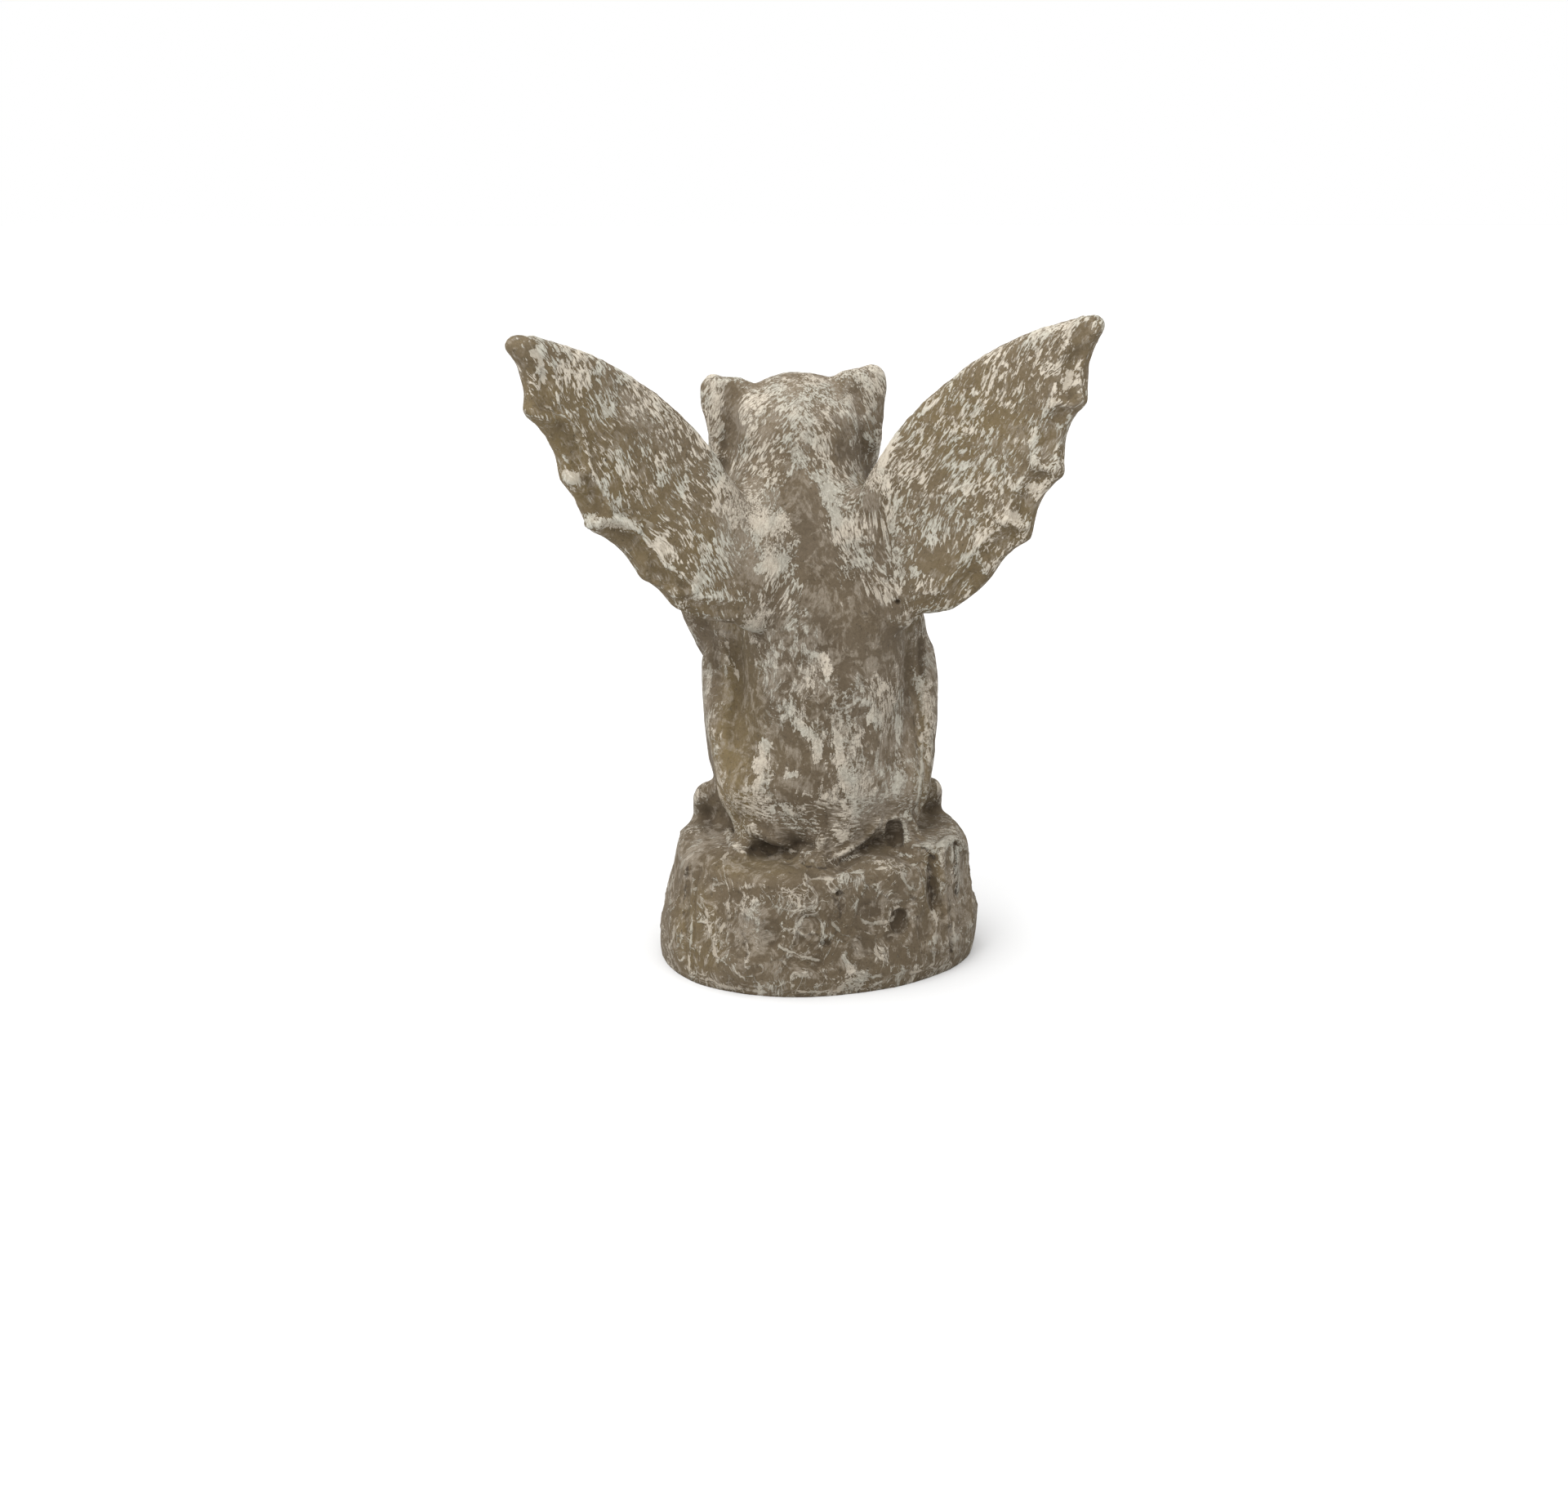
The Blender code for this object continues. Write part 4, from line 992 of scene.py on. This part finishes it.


# Where the paint, the stains, the dirt and the painted shade lie

# Brushed patches that the photograph shows: column, row, half width, half height, hundredths of
# paint that they add, below zero where it is rubbed off, and any lean in degrees to the right
PATCHES = (
    (661, 438, 10, 17, 40, -20), (690, 450, 18, 8, 15, 40), (741, 501, 12, 26, 18, -25),
    (770, 579, 14, 24, 20, -20), (813, 574, 20, 13, 22), (808, 673, 17, 26, 25, -30),
    (697, 584, 22, 18, 30, 35), (726, 642, 14, 12, 40, 30), (762, 637, 22, 13, 35, 20),
    (736, 593, 14, 14, 20), (859, 707, 13, 34, 35, 20), (660, 470, 8, 24, 12),
    (690, 527, 13, 24, -50, -25), (650, 415, 20, 10, -15, 30), (722, 612, 14, 20, -50, -35),
    (765, 655, 26, 9, -50, 30), (801, 700, 30, 12, -45, 40), (632, 425, 7, 22, -35, -20),
    (655, 500, 14, 8, -35), (840, 560, 24, 8, 10, 45), (800, 520, 26, 10, 12, 40),
    (944, 640, 30, 20, 60, -15), (955, 685, 26, 24, 55, -20), (945, 612, 20, 12, 12),
    (905, 596, 16, 8, 40, 20), (889, 668, 14, 32, 18, 20), (915, 730, 10, 22, 25, 20),
    (925, 700, 22, 28, -20, 20), (900, 655, 14, 20, -20), (984, 625, 24, 40, -70),
    (1000, 690, 22, 40, -70, -10), (1030, 745, 34, 34, -35, -20), (1024, 600, 26, 24, 50, -10),
    (1032, 640, 16, 44, 42, -18), (1058, 675, 14, 46, 30, -18), (1078, 710, 10, 40, 35, -14),
    (1092, 640, 16, 44, 22, -10), (1006, 568, 30, 18, 10), (1050, 583, 34, 10, 35, -25),
    (1100, 700, 14, 22, 20, 20), (1072, 612, 14, 12, -35), (872, 490, 9, 50, 22), (884, 462, 22, 8, 30),
    (894, 500, 7, 34, -55), (903, 530, 9, 16, -40, -10), (922, 495, 20, 14, 10, 30),
    (950, 480, 26, 12, 8, 25), (975, 503, 26, 22, 8), (988, 541, 18, 14, 40), (948, 520, 20, 18, -25, 30),
    (1008, 462, 22, 8, 5, -20), (1068, 470, 20, 24, 40), (1050, 500, 20, 20, 30, -30),
    (1034, 526, 14, 12, -35), (1030, 552, 10, 16, -30), (1066, 545, 10, 24, 20), (1078, 500, 7, 20, -35),
    (968, 556, 20, 18, 10), (940, 556, 12, 24, 15, 15), (905, 564, 14, 12, 15), (930, 765, 20, 16, 20, 20),
    (1000, 818, 20, 20, 28), (962, 830, 12, 26, -12), (966, 876, 28, 16, 28, -35), (1000, 890, 22, 14, 22),
    (992, 905, 12, 26, 25, -20), (1030, 795, 24, 34, -35), (1010, 740, 30, 26, -15),
    (1070, 785, 30, 34, -30), (1070, 840, 30, 14, 30), (1084, 870, 20, 34, 30), (1030, 900, 14, 60, 40),
    (1012, 960, 14, 30, 10), (1060, 920, 30, 50, 18), (1096, 940, 14, 34, 35), (1040, 975, 22, 34, 42, 10),
    (1064, 975, 20, 20, 20), (1034, 1020, 14, 30, 30, 20), (936, 925, 16, 44, 45, 8),
    (928, 975, 14, 20, 35), (972, 960, 30, 20, -30), (950, 905, 14, 30, -35, -40),
    (985, 925, 24, 30, -30, -30), (965, 1000, 10, 16, 35, -20), (988, 1020, 20, 26, 28),
    (930, 990, 22, 18, 30), (905, 1030, 16, 24, 25, -10), (950, 1020, 20, 16, -35),
    (1110, 1010, 8, 30, 35), (916, 850, 16, 60, -35), (900, 900, 20, 60, -35), (870, 890, 10, 70, 5),
    (915, 780, 14, 16, 25, 20), (848, 780, 14, 20, 25), (1118, 800, 8, 50, 20), (1128, 890, 14, 90, 32),
    (1140, 850, 8, 70, 22), (1120, 920, 8, 60, -10), (868, 1000, 10, 34, -5, -15), (1148, 960, 10, 18, 30),
    (1265, 600, 20, 14, 25), (1245, 640, 22, 20, 40), (1290, 560, 12, 22, 30), (1312, 465, 12, 26, 40, 20),
    (1290, 500, 16, 20, 25), (1285, 405, 30, 12, 22, 30), (1330, 420, 14, 26, -25, -25),
    (1230, 700, 24, 14, -20, 25), (1150, 690, 24, 20, -45, 25), (1200, 720, 20, 12, -25, 25),
    (1240, 560, 30, 14, 12), (1145, 640, 20, 24, 20, -15), (1170, 590, 14, 34, 15, -5),
    (1190, 500, 26, 30, 2, 30), (1090, 745, 12, 10, -50), (1270, 655, 12, 10, -45),
    (1262, 622, 8, 18, -40, -10), (1300, 590, 8, 10, -40), (1020, 1078, 50, 8, 42, 8),
    (1095, 1062, 34, 8, 35, 5), (1050, 1045, 30, 8, 30, 15), (955, 1100, 20, 14, 50, 30),
    (912, 1110, 16, 20, 42), (1000, 1108, 14, 10, 20), (1110, 1105, 12, 14, 30), (1080, 1130, 14, 12, 20),
    (1020, 1110, 12, 30, 10), (960, 1150, 20, 18, 10), (1082, 1170, 9, 14, 55), (985, 1205, 80, 8, 20),
    (1155, 1040, 20, 20, 40), (1172, 1060, 12, 30, 20), (1120, 1190, 34, 12, 25, -15),
    (878, 1140, 14, 40, 15, -20), (818, 1110, 10, 40, 18, 10), (860, 1195, 40, 10, 25, 20),
    (900, 1060, 50, 14, -35), (850, 1060, 34, 20, -20, -20), (940, 1160, 20, 20, -20),
    (1103, 1128, 10, 14, -45), (1000, 1050, 10, 10, -30), (1130, 1140, 14, 30, -15),
)
# Where the paint lies whole, in the same terms
FLAGS = (
    (919, 767, 9, 13, 90, 20), (1003, 803, 17, 6, 80), (1014, 822, 8, 13, 80), (989, 828, 5, 14, 70),
    (981, 889, 24, 8, 90, 42), (1001, 918, 8, 18, 90), (937, 912, 10, 8, 90, -20),
    (931, 938, 11, 20, 90, 8), (926, 963, 8, 9, 80), (971, 949, 13, 5, 80, -10), (963, 990, 14, 5, 90, 42),
    (940, 992, 13, 10, 80), (1025, 907, 7, 24, 80, -4), (1031, 935, 8, 22, 80),
    (1042, 963, 13, 17, 80, 10), (1040, 992, 16, 16, 70), (1033, 1022, 10, 10, 80),
    (1067, 880, 8, 13, 80, 10), (1080, 843, 8, 12, 80, 30), (1062, 860, 12, 5, 80, -20),
    (1101, 893, 7, 20, 80), (1098, 957, 9, 18, 80), (1110, 996, 5, 10, 70), (1125, 836, 6, 9, 70),
    (966, 770, 8, 10, 60, 20), (952, 802, 12, 6, 60, 30), (1050, 905, 5, 14, 70),
    (1060, 930, 6, 12, 70, 10), (656, 432, 9, 6, 90), (662, 444, 5, 12, 90, -10), (665, 462, 4, 10, 70),
    (681, 431, 11, 4, 70, 30), (707, 460, 12, 5, 60, 45), (741, 501, 7, 15, 70, -20),
    (700, 585, 17, 10, 80, 30), (729, 639, 14, 9, 90, 30), (760, 640, 22, 11, 80, 10),
    (768, 585, 7, 13, 70, -10), (810, 670, 8, 15, 80, -20), (856, 714, 9, 22, 90, 22),
    (802, 577, 7, 9, 60), (725, 520, 5, 10, 60, -30), (784, 610, 5, 14, 60, -20), (838, 640, 8, 6, 60),
    (1264, 598, 13, 8, 80), (1240, 634, 15, 10, 90, 10), (1308, 466, 7, 16, 90, 15), (1288, 492, 8, 9, 70),
    (1270, 410, 18, 5, 60, -30), (1222, 690, 14, 5, 60, -30), (1165, 620, 6, 18, 60, 15),
    (1200, 560, 6, 14, 60, 20), (942, 641, 26, 13, 100, -8), (947, 690, 25, 13, 100, -15),
    (925, 612, 16, 7, 70), (930, 660, 8, 12, 70, 20), (898, 640, 8, 16, 60, 15), (885, 690, 7, 18, 60, 15),
    (974, 660, 6, 16, 60, -20), (1014, 602, 15, 12, 90, -20), (1022, 630, 7, 20, 80, -18),
    (1050, 582, 20, 5, 70, -20), (1034, 650, 7, 24, 70, -18), (1062, 686, 7, 24, 60, -18),
    (1092, 640, 6, 22, 60, -10), (920, 1102, 14, 9, 60, 20), (968, 1094, 13, 6, 60, 30),
    (1040, 1050, 16, 4, 60, -10), (1104, 1046, 18, 4, 60, 10), (1170, 1040, 8, 6, 70),
    (1082, 1172, 6, 9, 70), (872, 480, 6, 34, 60), (988, 530, 12, 16, 70), (958, 486, 16, 4, 60, -35),
    (1022, 520, 16, 4, 60, 35),
)
# Stains in the same terms: olive damp, the grey film of thinned paint, and dirt. The dirt patches also hold
# painted shade in grooves, holes and recesses and under the rump's overhang
DAMP = (
    (712, 540, 60, 90, 55, -35), (820, 650, 60, 80, 45, -35), (908, 860, 26, 80, 110),
    (895, 950, 28, 60, 95, -15), (930, 900, 24, 50, 35, -30), (912, 1000, 20, 30, 60),
    (930, 1060, 60, 16, 70), (852, 1140, 24, 50, 110), (1130, 930, 10, 90, 60),
    (1190, 520, 90, 70, 55, 30), (1230, 640, 60, 40, 30), (1170, 700, 50, 30, 35, 20),
    (1143, 1090, 14, 40, 50), (870, 1160, 16, 34, 80), (1050, 1020, 30, 30, 25), (980, 900, 60, 60, 20),
    (1000, 1150, 60, 30, 15), (690, 560, 20, 60, 50, -30),
)
FILM = (
    (950, 828, 22, 34, 50), (975, 780, 40, 30, 15), (1075, 830, 34, 30, 30), (905, 665, 34, 50, 80, 10),
    (930, 615, 30, 26, 70), (950, 500, 60, 40, 60), (780, 500, 50, 20, 45, 40), (1035, 500, 30, 30, 50),
    (1050, 620, 30, 40, 45), (1085, 960, 30, 50, 40), (1050, 1000, 30, 34, 45), (1140, 840, 12, 60, 60),
    (925, 1140, 22, 30, 55), (940, 1175, 16, 20, 45), (858, 860, 10, 60, 60), (1070, 460, 20, 20, 40),
    (874, 480, 16, 40, 45), (850, 1040, 50, 20, 40, -20), (1170, 1090, 20, 60, 45),
    (1000, 820, 34, 34, 35), (1250, 560, 60, 50, 20),
)
# dirt, with painted shade in grooves, holes, recesses and under the rump's overhang
DIRT_AND_SHADE = (
    (985, 840, 80, 100, 50), (1040, 640, 50, 90, 30), (1000, 1000, 80, 50, 35), (1015, 1135, 130, 60, 40),
    (890, 900, 22, 110, -45), (1124, 900, 18, 110, -50), (830, 1060, 50, 30, 22), (985, 640, 60, 60, -15),
    (920, 640, 30, 60, -40), (936, 1042, 20, 8, 75), (1093, 1018, 9, 14, 60), (1021, 1055, 10, 6, 75),
    (892, 500, 4, 40, 40), (904, 528, 8, 14, 40, -10), (886, 548, 5, 14, 60), (1030, 550, 8, 16, 35),
    (1034, 526, 12, 10, 35), (878, 805, 6, 34, 45, -8), (1129, 805, 6, 26, 50), (886, 762, 22, 4, 60, -15),
    (1100, 740, 14, 8, 30), (1103, 1129, 6, 10, 60), (1091, 1146, 8, 7, 45), (1011, 1155, 7, 4, 75),
    (1029, 1095, 4, 4, 95), (1029, 1108, 6, 12, 45), (1171, 1045, 3, 16, 85), (1171, 1082, 2.5, 12, 70),
    (1143, 1075, 5, 24, 50), (1099, 737, 3, 3, 95), (1093, 744, 1.6, 1.6, 90), (1112, 739, 1.6, 1.6, 90),
    (1123, 705, 2, 2, 80), (1121, 1101, 3, 3, 85), (996, 1100, 1.8, 1.8, 80), (1007, 1092, 1.6, 1.6, 80),
    (940, 1150, 10, 16, 25), (1126, 1038, 14, 6, 40), (868, 1012, 6, 12, 50), (1150, 985, 6, 16, 50, 10),
    (950, 1190, 60, 8, 12, 5), (801, 1150, 5, 34, 35, 10), (692, 535, 10, 22, 25, -25),
    (728, 618, 12, 16, 22, -35), (770, 662, 26, 8, 18, 30), (1325, 440, 10, 24, 15, -25),
    (1180, 700, 34, 10, 20, 30), (984, 620, 18, 40, 15),
)

# Thin lines: paint along crisp edges, and dark lines, which are cracks and painted shadow along grooves and
# under the rump's edge. Strength in hundredths, columns and rows
PALE_LINES = (
    (70, 828, 1119, 826, 1139, 821, 1156), (90, 849, 1108, 847, 1140, 845, 1167, 844, 1194),
    (90, 862, 1111, 867, 1131, 869, 1146, 877, 1168), (80, 883, 1139, 892, 1124, 892, 1106),
    (80, 872, 1164, 883, 1178, 897, 1189, 910, 1197),
    (90, 911, 1150, 917, 1167, 915, 1181, 925, 1200, 930, 1208),
    (80, 944, 1142, 951, 1156, 967, 1165, 984, 1172, 1000, 1176),
    (90, 976, 1135, 983, 1124, 994, 1119, 1004, 1122, 1008, 1136, 1006, 1156),
    (90, 1050, 1125, 1067, 1131, 1086, 1128, 1094, 1119, 1099, 1111, 1108, 1113, 1113, 1125),
    (90, 1144, 1117, 1147, 1136, 1144, 1156, 1143, 1176), (80, 1165, 1106, 1168, 1150, 1171, 1178),
    (80, 858, 1196, 878, 1205, 906, 1211, 933, 1214, 967, 1214, 1011, 1213, 1050, 1207),
    (80, 1033, 1205, 1060, 1197, 1100, 1192, 1133, 1188, 1158, 1182),
    (100, 978, 1086, 1000, 1076, 1022, 1073, 1044, 1067, 1067, 1065, 1092, 1060, 1118, 1058),
    (90, 931, 1083, 939, 1097, 956, 1111, 970, 1117, 978, 1112, 974, 1099, 958, 1089),
    (80, 1103, 1069, 1108, 1081, 1116, 1088), (60, 846, 1088, 864, 1086, 884, 1083),
    (50, 817, 1092, 831, 1064, 844, 1050, 860, 1040), (70, 890, 1020, 892, 1045, 876, 1056),
    (80, 1121, 1018, 1130, 1031, 1142, 1041), (90, 1149, 1036, 1158, 1026, 1174, 1026, 1182, 1038),
    (80, 955, 1034, 976, 1044, 994, 1054, 1006, 1056),
    (90, 1016, 1053, 1039, 1039, 1056, 1027, 1072, 1016, 1080, 1004),
    (100, 1110, 842, 1114, 856, 1121, 872, 1127, 898, 1129, 926, 1128, 955, 1124, 985, 1126, 1014),
    (80, 882, 768, 888, 786, 898, 812, 903, 830), (60, 870, 946, 882, 974, 897, 1002),
    (80, 704, 524, 711, 545, 711, 566, 725, 585, 738, 602, 746, 618),
    (90, 668, 497, 684, 506, 700, 516, 706, 538, 709, 572), (50, 748, 622, 770, 632, 796, 640),
    (70, 660, 430, 661, 458, 660, 486), (70, 1062, 500, 1070, 520, 1071, 560),
    (80, 1002, 585, 1018, 620, 1034, 660, 1052, 700), (60, 1020, 1130, 1030, 1142, 1046, 1150),
    (70, 1072, 1150, 1074, 1166, 1084, 1176), (60, 960, 1180, 975, 1192, 996, 1196),
)
# cracks, and painted shadow lines along grooves and under the rump's edge
DARK_LINES = (
    (90, 840, 752, 863, 761, 888, 768, 901, 773), (90, 1123, 1024, 1131, 1037, 1143, 1047),
    (80, 962, 1047, 978, 1054, 994, 1062, 1006, 1065, 1022, 1060, 1038, 1049, 1062, 1035),
    (70, 842, 1062, 838, 1090, 837, 1120, 834, 1150), (70, 1137, 1052, 1137, 1075, 1140, 1100),
    (50, 1106, 842, 1110, 860, 1117, 880, 1122, 905, 1124, 940), (80, 924, 1040, 944, 1046),
    (100, 1170, 1032, 1171, 1060, 1172, 1092), (80, 1164, 1104, 1165, 1135, 1166, 1165),
    (60, 1020, 1098, 1026, 1106, 1028, 1120), (50, 908, 1140, 914, 1160, 912, 1180),
)


def drawn_lines(seen, shown):
    """How far to one side of the nearest thin line each point lies, and which kind of line it is."""
    nearest = np.full(len(seen), LINE_REACH / 2)
    gap, pale, dark = np.full(len(seen), 0.5), np.zeros(len(seen)), np.zeros(len(seen))
    for strengths, others, lines in ((pale, dark, PALE_LINES), (dark, pale, DARK_LINES)):
        for strength, *line in lines:
            line = curved(paired(line), 3)
            middle = (line.min(0) + line.max(0)) / 2
            near = np.all(np.abs(seen - middle) < np.ptp(line, 0) / 2 + LINE_REACH / 2, 1)
            near = np.flatnonzero(near)
            for start, end in zip(line, line[1:]):
                along = end - start
                away = seen[near] - start
                reach = segment_gap(away, along)
                closer = reach < nearest[near]
                chosen = near[closer]
                turned = along[0] * away[closer, 1] - along[1] * away[closer, 0]
                nearest[chosen] = reach[closer]
                gap[chosen] = np.sign(turned) * reach[closer] / LINE_REACH + 0.5
                strengths[chosen] = strength / 100
                others[chosen] = 0
    close = shown * fading(nearest, 0.30 * LINE_REACH, 0.42 * LINE_REACH)
    return gap, pale * close, dark * close


def patched(seen, patches):
    """The sum of soft patches at each point, each an ellipse that fades at its rim."""
    total = np.zeros(len(seen))
    for column, row, wide, tall, strength, *lean in patches:
        reach = 1.8 * max(wide, tall)
        near = (np.abs(seen[:, 0] - column) < reach) & (np.abs(seen[:, 1] - row) < reach)
        x, y = (seen[near] - (column, row)).T
        turn = math.radians(lean[0] if lean else 0)
        across = x * math.cos(turn) + y * math.sin(turn)
        down = y * math.cos(turn) - x * math.sin(turn)
        total[near] += strength / 100 * fading(np.hypot(across / wide, down / tall), 0.45, 1.45)
    return total


FINE_ROUND, BROAD_ROUND = 1, 23


def hollowness(mesh, points, normals):
    """How hollow the skin is at each point, fine and broad: above zero in creases, below on edges."""
    ends = np.empty(len(mesh.edges) * 2, dtype=int)
    mesh.edges.foreach_get("vertices", ends)
    first, second = ends.reshape(-1, 2).T
    count = np.bincount(ends, minlength=len(points))
    step = points[second] - points[first]
    length = np.linalg.norm(step, axis=1) + 1e-9
    bend = np.sum(normals[first] * step, 1) / length, -np.sum(normals[second] * step, 1) / length
    level = np.bincount(first, bend[0], len(points)) + np.bincount(second, bend[1], len(points))
    level /= count
    levels = []
    for k in range(BROAD_ROUND + 1):
        total = np.bincount(first, level[second], len(points))
        total += np.bincount(second, level[first], len(points))
        level = 0.5 * level + 0.5 * total / count
        if k in (FINE_ROUND, BROAD_ROUND):
            levels.append(level)
    return levels


def colour_attribute(mesh, name, *channels):
    """Stores four numbers from 0 to 1 on each vertex."""
    layer = mesh.color_attributes.new(name=name, type="FLOAT_COLOR", domain="POINT")
    layer.data.foreach_set("color", np.clip(np.stack(channels, 1), 0, 1).ravel())


# How much paint lies on the figure at first, and the most that the patches add to it
FIRST_PAINT = 0.42
MOST_PAINT = 0.22


def painted(mesh):
    """Gives the skin its paint, stains and dirt, its painted shade, and the way that each place was brushed.
    """
    points, normals = points_and_normals(mesh)
    seen = seen_at(points)
    shown = in_sight(points, normals)
    fine, broad = hollowness(mesh, points, normals)

    # The figure's regions, each from 0 to 1
    height = (points[:, 2] - SEAT) / UNIT
    across = (points[:, 0] - lean_aside(points[:, 2])) / UNIT
    side, out, up, _ = wing_place(points)
    wing = smooth_step(out, 0.10 * WING_SPAN, 0.24 * WING_SPAN) * smooth_step(height, 46, 54)
    rock = fading(points[:, 2], SEAT + 0.002, SEAT + 0.008)
    head = smooth_step(height, 73, 80) * (1 - wing)
    right = smooth_step(-across, -2, 2)
    body = (1 - wing) * (1 - rock) * (1 - head)
    back = smooth_step(points[:, 1] / UNIT, 2, 8)
    blade = body * smooth_step(height, 46, 56) * back
    rump = body * fading(height, 12, 16) * back
    rim = np.full(len(points), 1.0)
    for sign, rows in RIMS:
        here = (side == sign) & (wing > 0.2)
        rim[here] = line_gap(np.stack([out[here], up[here]], 1), scalloped(rows))
    bevel = fading(rim, 0.0105, 0.0145) * wing

    # The ways that they were brushed
    long_strokes = 0.9 * blade * right
    lean_right = wing * (1 - right) + head * right * 0.85
    lean_left = wing * right + head * (1 - right) * 0.85 + blade * (1 - right) * 0.7
    upright = np.clip(body - blade - rump, 0, 1) * 0.55

    # How much pale paint covers them
    drift = layered_noise(points, 28, 3, 71) - 0.5
    cover = (
        FIRST_PAINT - wing * (0.05 - 0.02 * right) - 0.25 * rock
        - 0.10 * body + 0.10 * blade + 0.36 * drift
    )
    brushed = patched(seen, PATCHES) * shown
    cover += np.where(brushed > 0, MOST_PAINT * (1 - np.exp(-brushed / MOST_PAINT)), brushed)
    cover -= np.clip(2.6 * fine, -0.20, 0.25) + np.clip(4.0 * broad, -0.06, 0.12)
    cover += rock * (0.14 * fading(rock_cells(points)[1], 0.0, 0.10) - 0.04)
    cover -= 0.30 * bevel * (0.5 + 0.5 * (side > 0))
    patchy = smooth_step(layered_noise(points, 45, 2, 79), 0.35, 0.65)
    cover += bulge(rim, 0.11 * patchy * wing, 0.0150, 0.0016)
    rubbed = 0.75 * rock + 0.30 * wing * right + 0.42 * head
    rubbed += body * (0.60 - 0.20 * blade + 0.40 * blade * right)

    # Damp, dirt with painted shade, and the film of thinned paint
    olive = 0.30 * wing + 0.20 * bevel + 0.22 * rock + patched(seen, DAMP) * shown
    olive += (1 - shown) * smooth_step(layered_noise(points, 18, 2, 73), 0.5, 0.75) * 0.7
    olive *= 0.70 + 0.6 * layered_noise(points, 60, 3, 75)
    # dirt and painted shade from the patches, and painted shade in fine creases and broad hollows
    dark = 0.6 * patched(seen, DIRT_AND_SHADE) * shown + np.clip(2.5 * fine, 0, 0.4) + np.clip(3.0 * broad, 0, 0.2)
    # painted shade that darkens the whole rock; the body, and the wings a little, are darker too
    dark += 0.42 * rock + 0.38 * body * (1 - 0.2 * blade) + 0.08 * wing
    film = patched(seen, FILM) * shown + (1 - shown) * smooth_step(drift, 0.02, 0.2) * 0.6
    film = film * (0.6 + 0.8 * layered_noise(points, 90, 2, 77))

    colour_attribute(mesh, "paint", cover, olive, dark, film)
    colour_attribute(mesh, "brush", lean_right, lean_left, upright, rump * 0.8)
    lines = 0.95 * rock + 0.40 * (body - blade)
    colour_attribute(mesh, "wear", lines, long_strokes, rubbed, patched(seen, FLAGS) * shown)
    colour_attribute(mesh, "drawn", *drawn_lines(seen, shown), np.ones(len(points)))


# The scene: floor, light and camera


def aimed(data, name, place, back):
    """Puts a light or a camera at a place, with its back towards a direction."""
    obj = loose_object(data, name)
    obj.location = place
    obj.rotation_euler = Vector(back).to_track_quat("Z", "Y").to_euler()
    return obj


def add_camera():
    data = bpy.data.cameras.new("camera")
    data.lens = LENS
    data.sensor_width = SENSOR
    data.sensor_fit = "HORIZONTAL"
    bpy.context.scene.camera = aimed(data, "camera", EYE, -FORWARD)


def add_sky():
    """A white studio that is brightest overhead and behind the camera's left shoulder."""
    world = bpy.data.worlds.new("studio")
    sky = Nodes(world)
    direction = sky.add("ShaderNodeTexCoord").outputs["Generated"]
    along = sky.vector("DOT_PRODUCT", direction, Vector(SKY_TOWARDS).normalized()).outputs["Value"]
    levels = {"Value": along, "From Min": 0.1, "To Min": 1.0, "To Max": SKY_STRENGTH}
    glow = sky.add("ShaderNodeMapRange", levels, interpolation_type="SMOOTHSTEP").outputs["Result"]
    sky.fill(sky.tree.nodes["Background"], {"Color": (1, 1, 1, 1), "Strength": glow})
    bpy.context.scene.world = world


def add_studio():
    add_sky()
    light = bpy.data.lights.new("key", "AREA")
    light.shape = "DISK"
    light.size = KEY_SIZE
    light.energy = KEY_POWER
    aimed(light, "key", KEY_PLACE, Vector(KEY_PLACE) - Vector(KEY_TARGET))
    bpy.context.scene.view_settings.view_transform = "Standard"


def add_floor():
    mesh = bpy.data.meshes.new("floor")
    corners = [(x * FLOOR_REACH, y * FLOOR_REACH, 0) for x, y in ((-1, -1), (1, -1), (1, 1), (-1, 1))]
    mesh.from_pydata(corners, [], [(0, 1, 2, 3)])
    floor = loose_object(mesh, "floor")
    material = bpy.data.materials.new("pale_floor")
    nodes = Nodes(material)
    nodes.fill(nodes.tree.nodes["Principled BSDF"], {
        "Base Color": (FLOOR_ALBEDO, FLOOR_ALBEDO, FLOOR_ALBEDO, 1),
        "Roughness": 0.95,
        "Specular IOR Level": 0.0,
    })
    mesh.materials.append(material)


add_camera()
add_studio()
add_floor()

skin = grown_skin()
move_points(skin, within_box(points_and_normals(skin)[0]))
skin = coarsened(skin, MOST_TRIANGLES)
skin.shade_smooth()
painted(skin)
skin.materials.append(stone_material())
statue = loose_object(skin, "gargoyle_stone")
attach(statue, "root")
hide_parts("gargoyle")
